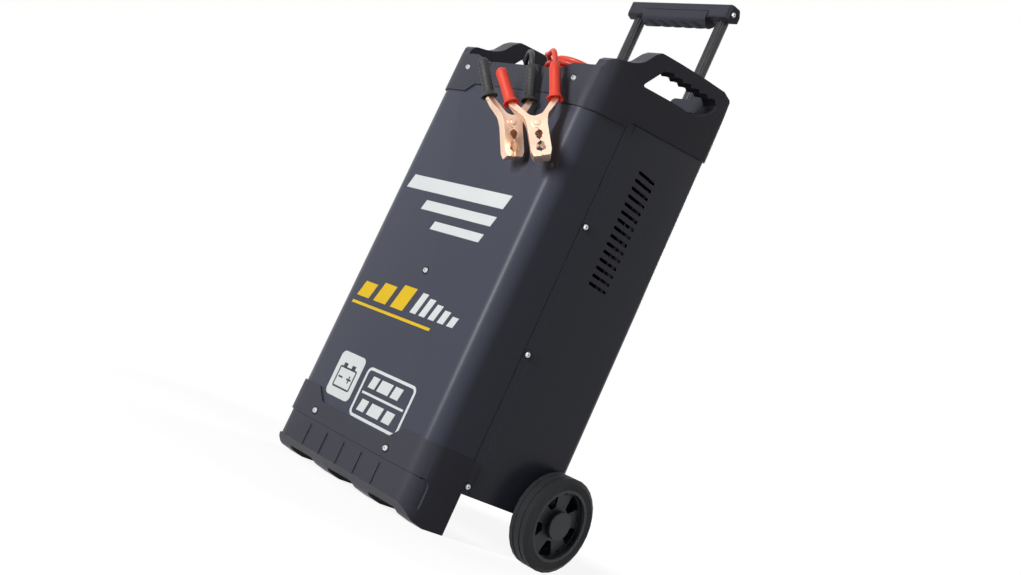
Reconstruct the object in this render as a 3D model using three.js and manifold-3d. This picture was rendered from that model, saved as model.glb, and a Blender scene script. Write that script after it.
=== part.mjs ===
// Wheeled battery charger: upright sheet-metal case on a moulded foot and two wheels, with a trolley
// handle, a top tray with the control panel, and two spring clamps on leads that lie coiled in the tray.
// Millimetres. X to the right, Y to the back, Z up, standing on z = 0.
import * as THREE from 'three';
import { mergeVertices } from 'three/addons/utils/BufferGeometryUtils.js';
import Module from 'manifold-3d';

const wasm = await Module();
wasm.setup();

// ---------------------------------------------------------------- driving sizes
const GAP = 0.3;                    // between pieces that touch
const SHEET = 1.6;                  // folded steel of the covers
const CASE_HALF = 147;              // half width over the covers
const CASE_BACK = 259;              // the front plane of the front cover is y = 0
const CASE_FRONT_RADIUS = 26;
const CASE_REAR_RADIUS = 12;
const CASE_BOTTOM = 55.6;
const SEAM = 79.5;                  // where the front and rear covers meet
const SEAM_OPEN = 0.9;              // visible groove of the seam
const FLANGE_DEPTH = 17;            // joggled flange under the rear cover
const SKIRT_SLOPE = 0.17;           // rise of the cap's side edge, per mm to the back
const BASE_SHEET = 2;

const CAP_WALL = 2.2;
const CAP_LOW = 554;                // lowest edge of the cap, at its front corners
const CAP_LIP_RISE = 12;            // the cap's lower edge in the middle of the front
const CAP_MIDDLE_LOW_HALF = 74;
const CAP_CORNER_LOW_HALF = 89;
const RIM_HIGH = 57;                // tray rim over the cap's lowest edge
const RIM_DIP = 9;                  // the rim's lower middle
const RIM_MIDDLE_HALF = 73;
const RIM_CORNER_HALF = 94;
const COVER_UNDER_RIM = 15;         // from the rim down to the front cover's hidden edge
const REAR_STEP = 9;                // the cap's side edge steps up behind the seam
const COVER_IN_CAP = 12;            // how far the rear cover reaches up into the cap
const FACE_PANEL_HALF = 62;         // shallow sunk panel in the cap's front
const FACE_PANEL_DEPTH = 1.2;
const GRIP_THICK = 24.5;            // side handles, across
const TRAY_DEEP = 42;               // tray floor under the rim's corners
const TRAY_FLOOR_THICK = 3;
const TRAY_FRONT_WALL = 2.6;        // tray side of the front wall, behind the cover's sheet
const TRAY_STEP = 3;                // the step up to the control panel leans back by this
const PANEL_RISE = 56;              // control panel's front edge over the tray floor
const PANEL_DEEP = 104;             // from that edge to the slope's back edge
const PANEL_BEHIND = 37;            // from the slope's back edge to the back of the case
const PANEL_SLOPE = 0.375;
const PANEL_SHELL = 6;
const REAR_WALL_RISE = 4;           // flat rear top over the slope's back edge
const SOCKET_RISE = 20;             // trolley sockets over that flat
const SOCKET_SINK = 28;             // and how deep they run down in it
const SOCKET_DEEP = 30;             // from their front to the back of the case
const SOCKET_INSIDE = 17;           // from a tube's centre line to the socket's inner side

const TUBE_HALF = 80;               // trolley tubes, half their distance
const TUBE_BEHIND = 14.8;           // from their centre lines to the back of the case
const TUBE_RADIUS = 9.1;
const TUBE_WALL = 1.5;
const TUBE_TRAVEL = 130;
const TUBE_OVERLAP = 120;           // what stays in the guides when pulled out
const TUBE_IN_LID = 4;              // how far the tubes reach into the bar's lid
const GUIDE_WALL = 1.8;
const BAR_CLEAR = 3;                // between the bar and the sockets when pushed in
const BAR_HIGH = 26;
const BAR_LID = 14;                 // solid top of the bar, over the grip
const BAR_BESIDE = 18;              // from a tube's centre line to the end of the bar
const BAR_CHAMFER = 5;
const BAR_AHEAD = 18.2;             // from the tubes' centre lines to the bar's front
const BAR_BACK_WALL = 0.4;
const GRIP_BESIDE = 19;             // from a tube's centre line to the end of the grip
const GRIP_DROP = 10;               // how far the grip hangs under the bar

const WHEEL_RADIUS = 65;
const WHEEL_WIDTH = 33.5;
const WHEEL_CLEAR = 4.2;            // between the case and the wheel
const AXLE_BEHIND = 17.7;           // from the axle to the back of the case
const AXLE_RADIUS = 6;
const TYRE_THICK = 15;
const HUB_RADIUS = 19.5;
const WHEEL_WINDOWS = 5;
const HUB_SET_BACK = 1;             // the hub's face behind the tyre's side
const HUB_CAP = 5;                  // closed outer end of the hub's bore

const FOOT_FRONT = -3.4;
const FOOT_TOP = 100;
const FOOT_DIP = 17.5;              // the foot's lower upper edge in the middle
const FOOT_DIP_HALF = 74;
const FOOT_DIP_RISE = 20;           // width of the slopes beside that dip
const FOOT_BAND = 57;               // lower edge of the foot's proud band
const FOOT_LEDGE = 20.7;
const FOOT_SINK = 2.5;              // how far the ribbed face lies behind the band
const FOOT_SINK_BACK = 24;
const FOOT_RISE = 10;               // notches between the pads
const FOOT_RIBS = 5;
const FOOT_RIB_PITCH = 39;
const FOOT_WALL = 9;

const LEAD_RADIUS = 3.5;
const COIL_OUTER = 41.5;            // centre line of a coil's outer turn
const TURN_GAP = 0.7;               // between turns beside each other
const LAYER_GAP = 0.6;              // between turns on each other
const COIL_LAYERS = 4;

// ---------------------------------------------------------------- worked out from them
const coverInner = CASE_HALF - SHEET;
const flangeOuter = coverInner - GAP;
const flangeInner = flangeOuter - SHEET;
const insideHalf = flangeInner - GAP;              // room inside both covers
const insideFront = SHEET + GAP;
const insideBack = CASE_BACK - SHEET - GAP;
const capHalf = CASE_HALF + GAP + CAP_WALL;
const capFront = -GAP - CAP_WALL;
const capBack = CASE_BACK + GAP + CAP_WALL;
const capMiddleLow = CAP_LOW + CAP_LIP_RISE;
const rimCorner = CAP_LOW + RIM_HIGH;
const rimMiddle = rimCorner - RIM_DIP;
const frontCoverTop = rimCorner - COVER_UNDER_RIM;
const trayFloor = rimCorner - TRAY_DEEP;
const trayFront = insideFront + TRAY_FRONT_WALL;
const panelBackY = CASE_BACK - PANEL_BEHIND;
const panelFrontY = panelBackY - PANEL_DEEP;
const panelFrontZ = trayFloor + PANEL_RISE;
const trayBack = panelFrontY - TRAY_STEP;
const panelZ = (y) => panelFrontZ + PANEL_SLOPE * (y - panelFrontY);
const rearWallTop = panelZ(panelBackY) + REAR_WALL_RISE;
const socketTop = rearWallTop + SOCKET_RISE;
const socketFront = CASE_BACK - SOCKET_DEEP;
const gripInner = capHalf - GRIP_THICK;
const tubeY = CASE_BACK - TUBE_BEHIND;
const guideInner = TUBE_RADIUS + GAP;
const guideRadius = guideInner + GUIDE_WALL;
const baseTop = CASE_BOTTOM + BASE_SHEET;
const guideBottom = WHEEL_RADIUS + AXLE_RADIUS + 9;
const guideTop = rearWallTop - 3;
const wheelInner = CASE_HALF + WHEEL_CLEAR;
const wheelOuter = wheelInner + WHEEL_WIDTH;
const rimRadius = WHEEL_RADIUS - TYRE_THICK;
const axleY = CASE_BACK - AXLE_BEHIND;
const barBottom = socketTop + BAR_CLEAR + TUBE_TRAVEL;
const barTop = barBottom + BAR_HIGH;
const barFront = tubeY - BAR_AHEAD;
const barBack = tubeY + guideInner + BAR_BACK_WALL;
const barHalf = TUBE_HALF + BAR_BESIDE;
const gripHalf = TUBE_HALF - GRIP_BESIDE;
const gripTop = barTop - BAR_LID;
const gripBottom = barBottom - GRIP_DROP;
const tubeTop = gripTop + TUBE_IN_LID;
const tubeBottom = rearWallTop - TUBE_TRAVEL - TUBE_OVERLAP;
const footBack = SEAM + GAP;
const groundMiddle = (FOOT_FRONT + axleY + WHEEL_RADIUS) / 2;
const coilPitch = 2 * LEAD_RADIUS + TURN_GAP;
const coilLayer = 2 * LEAD_RADIUS + LAYER_GAP;
const rearEdge = (y) => CAP_LOW + REAR_STEP + SKIRT_SLOPE * y;

// ---------------------------------------------------------------- shapes
const ARC_STEP = Math.PI / 10;
const SMALL_RADIUS = 5;
const SMALL_ARC_STEP = Math.PI / 2;
const vec = (x, y, z) => new THREE.Vector3(x, y, z);

// Corners are [u, v] or [u, v, radius]; a radius rounds that corner.
function outline(corners) {
  const points = [];
  corners.forEach(([u, v, radius = 0], i) => {
    const here = new THREE.Vector2(u, v);
    if (!radius) {
      points.push(here);
      return;
    }
    const before = corners.at(i - 1);
    const after = corners[(i + 1) % corners.length];
    const a = new THREE.Vector2(before[0], before[1]).sub(here).normalize();
    const b = new THREE.Vector2(after[0], after[1]).sub(here).normalize();
    const half = Math.acos(THREE.MathUtils.clamp(a.dot(b), -1, 1)) / 2;
    const centre = here.clone().addScaledVector(a.clone().add(b).normalize(), radius / Math.sin(half));
    const start = here.clone().addScaledVector(a, radius / Math.tan(half)).sub(centre);
    const end = here.clone().addScaledVector(b, radius / Math.tan(half)).sub(centre);
    const turn = Math.atan2(start.cross(end), start.dot(end));
    const step = radius < SMALL_RADIUS ? SMALL_ARC_STEP : ARC_STEP;
    const steps = Math.max(1, Math.ceil(Math.abs(turn) / step - 0.01));
    for (let k = 0; k <= steps; k += 1) {
      points.push(start.clone().rotateAround(new THREE.Vector2(), (turn * k) / steps).add(centre));
    }
  });
  return points;
}

const rectangle = (u0, v0, u1, v1, radius = 0) => (
  [[u0, v0, radius], [u1, v0, radius], [u1, v1, radius], [u0, v1, radius]]
);

const circle = (u, v, radius, sides) => Array.from({ length: sides }, (_, k) => {
  const angle = (2 * Math.PI * (k + 0.5)) / sides;
  return [u + radius * Math.cos(angle), v + radius * Math.sin(angle)];
});

const mirrored = (corners) => corners.map(([u, v, radius]) => [-u, v, radius]);

function prism(corners, length) {
  return new THREE.ExtrudeGeometry(new THREE.Shape(outline(corners)), {
    depth: length, bevelEnabled: false, curveSegments: 1,
  });
}

const TO_X = new THREE.Matrix4().set(0, 0, 1, 0, 1, 0, 0, 0, 0, 1, 0, 0, 0, 0, 0, 1);
const TO_Y = new THREE.Matrix4().set(1, 0, 0, 0, 0, 0, -1, 0, 0, 1, 0, 0, 0, 0, 0, 1);

// Outlines in (y, z), (x, z) and (x, y), stretched along the third axis.
const alongX = (corners, x0, x1) => prism(corners, x1 - x0).applyMatrix4(TO_X).translate(x0, 0, 0);
const alongY = (corners, y0, y1) => prism(corners, y1 - y0).applyMatrix4(TO_Y).translate(0, y1, 0);
const alongZ = (corners, z0, z1) => prism(corners, z1 - z0).translate(0, 0, z0);
const block = (x0, x1, y0, y1, z0, z1) => alongZ(rectangle(x0, y0, x1, y1), z0, z1);

const rodX = (y, z, radius, x0, x1, sides = 16) => alongX(circle(y, z, radius, sides), x0, x1);
const rodY = (x, z, radius, y0, y1, sides = 16) => alongY(circle(x, z, radius, sides), y0, y1);
const rodZ = (x, y, radius, z0, z1, sides = 16) => alongZ(circle(x, y, radius, sides), z0, z1);

// Turned about Z; the profile is [radius, z] pairs.
const turned = (profile, sides = 24) => (
  new THREE.LatheGeometry(profile.map(([r, z]) => new THREE.Vector2(r, z)), sides).rotateX(Math.PI / 2)
);

function toSolid(shape) {
  if (!shape.isBufferGeometry) return shape;
  const bare = shape.clone();
  bare.deleteAttribute('normal');
  bare.deleteAttribute('uv');
  const merged = mergeVertices(bare, 1e-4);
  const triVerts = [];
  const index = merged.index.array;
  for (let i = 0; i < index.length; i += 3) {
    const [a, b, c] = [index[i], index[i + 1], index[i + 2]];
    if (a !== b && b !== c && c !== a) triVerts.push(a, b, c);
  }
  return new wasm.Manifold(new wasm.Mesh({
    numProp: 3,
    vertProperties: new Float32Array(merged.attributes.position.array),
    triVerts: new Uint32Array(triVerts),
  }));
}

function toGeometry(solid) {
  const data = solid.getMesh();
  const geometry = new THREE.BufferGeometry();
  geometry.setAttribute('position', new THREE.BufferAttribute(new Float32Array(data.vertProperties), 3));
  geometry.setIndex(new THREE.BufferAttribute(new Uint32Array(data.triVerts), 1));
  const faceted = geometry.toNonIndexed();
  faceted.computeVertexNormals();
  return faceted;
}

const join = (first, ...rest) => rest.reduce((sum, shape) => sum.add(toSolid(shape)), toSolid(first));
const cut = (first, ...rest) => rest.reduce((sum, shape) => sum.subtract(toSolid(shape)), toSolid(first));
const common = (first, ...rest) => (
  rest.reduce((sum, shape) => sum.intersect(toSolid(shape)), toSolid(first))
);

// ---------------------------------------------------------------- materials
const FINISHES = {
  case_steel: [0x53555f, 0.45, 0.3],
  moulding: [0x3a3a44, 0.6, 0],
  trolley_tube: [0x4a4a52, 0.4, 0.6],
  tyre: [0x2a2b2d, 0.85, 0],
  wheel: [0x2e3136, 0.55, 0],
  zinc: [0xc9cbd0, 0.3, 0.9],
  plain_steel: [0x8a8c90, 0.45, 0.8],
  copper_plate: [0xf3d8b6, 0.35, 0.8],
  red_rubber: [0xf04030, 0.5, 0],
  black_rubber: [0x303133, 0.6, 0],
  red_lead: [0xff6349, 0.45, 0],
  black_lead: [0x28292b, 0.5, 0],
  panel: [0x6b6e78, 0.5, 0],
  black_plastic: [0x1d1e20, 0.5, 0],
  red_plastic: [0xc02020, 0.4, 0],
  clear: [0xdfe8ea, 0.1, 0],
  needle: [0xc02020, 0.5, 0],
  lamination: [0x77797e, 0.5, 0.7],
  enamel_wire: [0xa85a2c, 0.4, 0.6],
  aluminium: [0xb4b7bb, 0.4, 0.9],
};
const materials = Object.fromEntries(Object.entries(FINISHES).map(([slot, [color, roughness, metalness]]) => (
  [slot, new THREE.MeshStandardMaterial({ color, roughness, metalness, name: slot })]
)));

const charger = new THREE.Group();

function piece(name, shape, slot, parent = charger) {
  const geometry = shape.isBufferGeometry ? shape : toGeometry(shape);
  const mesh = new THREE.Mesh(geometry, materials[slot]);
  mesh.name = name;
  parent.add(mesh);
  return mesh;
}

// ---------------------------------------------------------------- screws
const SCREW_SHANK = 2;
const SCREW_HOLE = SCREW_SHANK + GAP;
const SCREW_HEAD = 4.2;
const SCREW_HEAD_HIGH = 2.2;
const SCREW_LONG = 9;
const BAR_SCREW_LONG = 8;
const SIDE_SCREW_BEHIND = 7.7;      // behind the seam
const SIDE_SCREW_LOW = 11.1;        // lowest one over the case's bottom
const SIDE_SCREW_PITCH = 180.2;
const SIDE_SCREWS = 3;
const CENTRE_SCREW_Z = 295.1;
const CAP_SCREW_BESIDE = 42;        // from the side of the case
const CAP_SCREW_RISE = 36;          // over the cap's lowest edge
const FOOT_SCREW_BESIDE = 67.1;
const FOOT_SCREW_Z = 68.4;
const BAR_SCREW_BEHIND = 11.7;      // behind the bar's front
const BAR_SCREW_DROP = 13.6;        // under the bar's top
const CAP_SCREW_POCKET = 1;

const sideScrewY = SEAM + SIDE_SCREW_BEHIND;
const sideScrewZ = Array.from({ length: SIDE_SCREWS }, (_, i) => (
  CASE_BOTTOM + SIDE_SCREW_LOW + (SIDE_SCREWS - 1 - i) * SIDE_SCREW_PITCH
));
const capScrewX = CASE_HALF - CAP_SCREW_BESIDE;
const capScrewZ = CAP_LOW + CAP_SCREW_RISE;
const footScrewX = CASE_HALF - FOOT_SCREW_BESIDE;
const barScrewY = barFront + BAR_SCREW_BEHIND;
const barScrewZ = barTop - BAR_SCREW_DROP;

// Head outside, shank along -Z; the underside of the head is z = 0.
const screwShape = (length) => turned([
  [0, -length], [SCREW_SHANK, -length], [SCREW_SHANK, 0], [SCREW_HEAD, 0],
  [SCREW_HEAD * 0.7, SCREW_HEAD_HIGH], [0, SCREW_HEAD_HIGH],
], 8);

function screw(name, length, position, outward) {
  const mesh = piece(name, screwShape(length), 'zinc');
  mesh.quaternion.setFromUnitVectors(vec(0, 0, 1), outward);
  mesh.position.copy(position);
}

// ---------------------------------------------------------------- covers
const LOUVRES = 15;
const LOUVRE_PITCH = 11.66;
const LOUVRE_DROP = 21.6;           // highest one under the cap's lowest edge
const LOUVRE_BEHIND = 57.1;         // behind the seam
const LOUVRE_LONG = 41.4;
const LOUVRE_HIGH = 4.6;
const SHANK_SIDES = 8;

function frontCover() {
  const edge = SEAM - SEAM_OPEN;
  const end = SEAM + FLANGE_DEPTH;
  const radius = CASE_FRONT_RADIUS;
  const right = [[flangeOuter, SEAM - GAP], [CASE_HALF, edge], [CASE_HALF, 0, radius]];
  const left = mirrored(right).reverse();
  const inner = [
    [-flangeOuter, end], [-flangeInner, end], [-flangeInner, edge - GAP], [-coverInner, edge - SHEET],
    [-coverInner, SHEET, radius - SHEET],
  ];
  const plan = [...right, ...left, ...inner, ...mirrored(inner).reverse()];
  const shell = alongZ(plan, CASE_BOTTOM, frontCoverTop);
  const holes = [rodY(0, CENTRE_SCREW_Z, SCREW_HOLE, -GAP, SHEET + GAP, SHANK_SIDES)];
  [-1, 1].forEach((side) => {
    holes.push(rodY(side * capScrewX, capScrewZ, SCREW_HOLE, -GAP, SHEET + GAP, SHANK_SIDES));
    holes.push(rodY(side * footScrewX, FOOT_SCREW_Z, SCREW_HOLE, -GAP, SHEET + GAP, SHANK_SIDES));
  });
  sideScrewZ.forEach((z) => {
    holes.push(rodX(sideScrewY, z, SCREW_HOLE, -CASE_HALF, CASE_HALF, SHANK_SIDES));
  });
  return cut(shell, ...holes);
}

const FAN_DROP = 94;                // fan's middle under the cap's lowest edge
const fanZ = CAP_LOW - FAN_DROP;
const FAN_HALF = 46;
const FAN_BORE = 42;
const FAN_DEEP = 25;
const GRILLE_SLOTS = 7;
const GRILLE_PITCH = 11;
const GRILLE_HIGH = 5;
const INLET_Z = 130;
const INLET_RADIUS = 8;

function rearCover() {
  const front = SEAM + GAP;
  const back = CASE_BACK - SHEET;
  const radius = CASE_REAR_RADIUS;
  const plan = [
    [CASE_HALF, front], [CASE_HALF, CASE_BACK, radius], [-CASE_HALF, CASE_BACK, radius], [-CASE_HALF, front],
    [-coverInner, front], [-coverInner, back, radius - SHEET], [coverInner, back, radius - SHEET],
    [coverInner, front],
  ];
  const top = (y) => rearEdge(y) + COVER_IN_CAP;
  const side = [
    [front, CASE_BOTTOM], [CASE_BACK, CASE_BOTTOM], [CASE_BACK, top(CASE_BACK)], [front, top(front)],
  ];
  const holes = [rodX(axleY, WHEEL_RADIUS, AXLE_RADIUS + GAP, -CASE_HALF - 1, CASE_HALF + 1)];
  for (let i = 0; i < LOUVRES; i += 1) {
    const z = CAP_LOW - LOUVRE_DROP - i * LOUVRE_PITCH;
    const low = z - LOUVRE_HIGH / 2;
    const slot = rectangle(
      SEAM + LOUVRE_BEHIND, low, SEAM + LOUVRE_BEHIND + LOUVRE_LONG, low + LOUVRE_HIGH, LOUVRE_HIGH * 0.4,
    );
    holes.push(alongX(slot, -CASE_HALF - 1, CASE_HALF + 1));
  }
  for (let i = 0; i < GRILLE_SLOTS; i += 1) {
    const offset = (i - (GRILLE_SLOTS - 1) / 2) * GRILLE_PITCH;
    const half = Math.sqrt((FAN_BORE - GRILLE_HIGH) ** 2 - offset ** 2);
    const low = fanZ + offset - GRILLE_HIGH / 2;
    const slot = rectangle(-half, low, half, low + GRILLE_HIGH, GRILLE_HIGH * 0.45);
    holes.push(alongY(slot, back - 1, CASE_BACK + 1));
  }
  sideScrewZ.forEach((z) => {
    holes.push(rodX(sideScrewY, z, SCREW_HOLE, -CASE_HALF - 1, CASE_HALF + 1, SHANK_SIDES));
  });
  holes.push(rodY(0, INLET_Z, INLET_RADIUS + GAP, back - 1, CASE_BACK + 1));
  const shell = common(alongZ(plan, CASE_BOTTOM, rearWallTop), alongX(side, -CASE_HALF, CASE_HALF));
  return cut(shell, ...holes);
}

// ---------------------------------------------------------------- base plate with the upright chassis
const UPRIGHT_BEHIND = 54;          // from its front to the back of the case
const uprightFront = CASE_BACK - UPRIGHT_BEHIND;
const UPRIGHT_HALF = 60;
const UPRIGHT_TOP = 340;

function basePlate() {
  const cornerRadius = CASE_FRONT_RADIUS - SHEET - GAP;
  const plan = [
    [insideHalf, insideFront, cornerRadius], [insideHalf, insideBack, CASE_REAR_RADIUS],
    [-insideHalf, insideBack, CASE_REAR_RADIUS], [-insideHalf, insideFront, cornerRadius],
  ];
  const upright = block(
    -UPRIGHT_HALF, UPRIGHT_HALF, uprightFront, uprightFront + BASE_SHEET, CASE_BOTTOM, UPRIGHT_TOP,
  );
  const bearings = [-1, 1].map((side) => block(
    side * TUBE_HALF - guideRadius, side * TUBE_HALF + guideRadius,
    tubeY - guideRadius, tubeY + guideRadius, CASE_BOTTOM, guideBottom - GAP,
  ));
  const bore = rodX(axleY, WHEEL_RADIUS, AXLE_RADIUS + GAP, -CASE_HALF, CASE_HALF);
  return cut(join(alongZ(plan, CASE_BOTTOM, baseTop), upright, ...bearings), bore);
}

// ---------------------------------------------------------------- top cap

// Outline in plan at some distance outside the covers, (x, y).
const coverPlan = (out) => [
  [CASE_HALF + out, -out, CASE_FRONT_RADIUS + out],
  [CASE_HALF + out, CASE_BACK + out, CASE_REAR_RADIUS + out],
  [-CASE_HALF - out, CASE_BACK + out, CASE_REAR_RADIUS + out],
  [-CASE_HALF - out, -out, CASE_FRONT_RADIUS + out],
];

// What the cap's outer wall leaves free under its edge, stepped up behind the seam.
function underSkirt() {
  const seamLow = CAP_LOW + SKIRT_SLOPE * SEAM;
  const under = alongX([
    [capFront - 1, CAP_LOW - 2], [capBack + 1, CAP_LOW - 2], [capBack + 1, rearEdge(capBack + 1)],
    [SEAM + 4, rearEdge(SEAM + 4)], [SEAM, seamLow + 2], [SEAM - 3.5, seamLow],
    [3.5, CAP_LOW], [capFront - 1, CAP_LOW],
  ], -capHalf - 1, capHalf + 1);
  return cut(under, alongZ(coverPlan(GAP), CAP_LOW - 3, rimCorner));
}

// Side view of the handle's arch: distance behind the case's front or back, height over the rim's corners.
const ARCH_REAR = [[-4, 18], [-7, 59], [-9.7, 90.3, 3], [-29.7, 94.5, 6]];
const ARCH_FRONT = [
  [175, 86.2], [126, 77.3], [94, 71, 6], [82, 68.2, 5], [72.5, 59.5, 10], [60, 42.5], [52, 36, 8],
  [41, 29.4, 12], [29, 24.5], [13, 19, 5], [6, 12.5], [4, 2.6, 3],
];
const fromBack = ([y, z, radius]) => [CASE_BACK + y, rimCorner + z, radius];
const fromFront = ([y, z, radius]) => [y, rimCorner + z, radius];

// Side view of the cap with its handles, (y, z).
function capSide() {
  return [
    [capFront, CAP_LOW], [capBack, CAP_LOW], [capBack, rearEdge(capBack) + 3],
    ...ARCH_REAR.map(fromBack), ...ARCH_FRONT.map(fromFront), [capFront, rimCorner],
  ];
}

// Finger hole of a side handle, (y, z), scalloped under the bar.
const HOLE_FRONT = [[72.3, 14.4, 2], [139.3, 27.2]];
const HOLE_REAR = [[-78.2, 33.2], [-62.4, 38], [-52.5, 43.4], [-37.2, 56.7, 8], [-28, 72, 6]];
const HOLE_TOP_FRONT = [99.7, 51.5, 3];
const SCALLOPS = 6;
const SCALLOP_REAR = -37;           // where the scallops begin, from the case's back
const SCALLOP_FRONT = 104;          // and end, from its front

function gripHole() {
  const [frontY, frontZ] = HOLE_TOP_FRONT;
  const under = (y) => rimCorner + frontZ + 1 + 0.165 * (y - frontY);
  const corners = [...HOLE_FRONT.map(fromFront), ...HOLE_REAR.map(fromBack)];
  const first = CASE_BACK + SCALLOP_REAR;
  const step = (first - SCALLOP_FRONT) / SCALLOPS;
  for (let i = 0; i < SCALLOPS; i += 1) {
    const y = first - i * step;
    corners.push([y, under(y)], [y - step * 0.28, under(y) + 2.6], [y - step * 0.72, under(y - step) + 3.2]);
  }
  corners.push(fromFront(HOLE_TOP_FRONT));
  return corners;
}

const GLAND_X = 6.5;
const GLAND_RADIUS = 5.8;
const GLAND_FLANGE = 9;
const GLAND_LONG = 35;

// Beside a handle a tube's socket steps up, clear of the lowered bar.
const SOCKET_STEP_X = 99.8;
const SOCKET_STEP = 8;

function capShell() {
  const body = join(
    common(
      alongZ(coverPlan(GAP + CAP_WALL), CAP_LOW, socketTop + 30),
      alongX(capSide(), -capHalf - 1, capHalf + 1),
    ),
    block(-gripInner, gripInner, socketFront, capBack, rearEdge(capBack) + 2, rearWallTop),
  );
  const open = [
    [capFront - 9, rimCorner], [trayFront, rimCorner], [trayFront, trayFloor, 3], [trayBack, trayFloor, 3],
    [trayBack, panelFrontZ - 2], [panelFrontY, panelFrontZ], [panelBackY, panelZ(panelBackY)],
    [socketFront, rearWallTop], [capBack + 9, rearWallTop],
    [capBack + 9, socketTop + 32], [capFront - 9, socketTop + 32],
  ];
  const rim = [
    [-RIM_CORNER_HALF, rimCorner], [-RIM_MIDDLE_HALF, rimMiddle, 4], [RIM_MIDDLE_HALF, rimMiddle, 4],
    [RIM_CORNER_HALF, rimCorner], [RIM_CORNER_HALF, rimCorner + 30], [-RIM_CORNER_HALF, rimCorner + 30],
  ];
  const lip = [
    [-CAP_CORNER_LOW_HALF, CAP_LOW - 9], [-CAP_CORNER_LOW_HALF, CAP_LOW, 4],
    [-CAP_MIDDLE_LOW_HALF, capMiddleLow, 4], [CAP_MIDDLE_LOW_HALF, capMiddleLow, 4],
    [CAP_CORNER_LOW_HALF, CAP_LOW, 4], [CAP_CORNER_LOW_HALF, CAP_LOW - 9],
  ];
  const facePanel = block(
    -FACE_PANEL_HALF, FACE_PANEL_HALF, capFront - 1, capFront + FACE_PANEL_DEPTH, CAP_LOW, rimCorner,
  );
  const sockets = [-1, 1].map((side) => {
    const low = rearWallTop - SOCKET_SINK;
    const face = [
      [TUBE_HALF - SOCKET_INSIDE, low], [gripInner + 1, low], [gripInner + 1, socketTop + SOCKET_STEP],
      [SOCKET_STEP_X, socketTop + SOCKET_STEP, 3], [SOCKET_STEP_X, socketTop, 2],
      [TUBE_HALF - SOCKET_INSIDE, socketTop, 7],
    ].map(([x, z, radius]) => [side * x, z, radius]);
    return alongY(side > 0 ? face : face.reverse(), socketFront, capBack);
  });
  return join(
    cut(
      body, alongX(open, -gripInner, gripInner), alongY(rim, capFront - 9, trayFront + 1),
      alongY(lip, capFront - 1, insideFront), facePanel, underSkirt(),
      alongX(gripHole(), gripInner - 1, capHalf + 1), alongX(gripHole(), -capHalf - 1, -gripInner + 1),
    ),
    ...sockets,
  );
}

// Room for the covers, the inner space under the tray, and the tubes.
function capHollows() {
  const innerPlan = [
    [insideHalf, insideFront, CASE_FRONT_RADIUS - SHEET - GAP],
    [insideHalf, insideBack, CASE_REAR_RADIUS - SHEET - GAP],
    [-insideHalf, insideBack, CASE_REAR_RADIUS - SHEET - GAP],
    [-insideHalf, insideFront, CASE_FRONT_RADIUS - SHEET - GAP],
  ];
  const coverTop = frontCoverTop + GAP;
  const rearTop = (y) => rearEdge(y) + COVER_IN_CAP + 1;
  const slotSide = [
    [capFront, CAP_LOW - 9], [capBack, CAP_LOW - 9], [capBack, rearTop(capBack)],
    [SEAM + FLANGE_DEPTH + 1, Math.max(coverTop, rearTop(SEAM + FLANGE_DEPTH + 1))],
    [SEAM + FLANGE_DEPTH, coverTop], [capFront, coverTop],
  ];
  const slot = common(
    cut(alongZ(coverPlan(GAP), CAP_LOW - 9, rearWallTop), alongZ(innerPlan, CAP_LOW - 9, rearWallTop)),
    alongX(slotSide, -capHalf, capHalf),
  );
  const ceiling = trayFloor - TRAY_FLOOR_THICK;
  const under = (y) => panelZ(y) - PANEL_SHELL / Math.cos(Math.atan(PANEL_SLOPE));
  const stepBack = panelFrontY + 1;
  const lowRoom = alongZ(innerPlan, CAP_LOW - 9, ceiling);
  const highSide = [
    [stepBack, ceiling - 1], [insideBack, ceiling - 1], [insideBack, rearWallTop - 3.5],
    [panelBackY, under(panelBackY) - 2], [stepBack, under(stepBack)],
  ];
  const highHalf = gripInner - CAP_WALL;
  return [slot, lowRoom, alongX(highSide, -highHalf, highHalf)];
}

const PANEL_BESIDE = 9;             // from the grip to the panel
const PANEL_MARGIN = 4;             // from the slope's front and back edges
const panelHalf = gripInner - PANEL_BESIDE;
const PANEL_LEDGE = 7;
const PANEL_THICK = 2.5;
const panelAngle = Math.atan(PANEL_SLOPE);
const panelMiddleY = (panelFrontY + panelBackY) / 2;
const panelLong = (PANEL_DEEP - 2 * PANEL_MARGIN) / Math.cos(panelAngle) / 2;

// The control panel's own frame: x across, y up the slope, z out of it, z = 0 on the cap's slope.
const panelFrame = new THREE.Matrix4().makeRotationX(panelAngle)
  .setPosition(0, panelMiddleY, panelZ(panelMiddleY));

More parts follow.
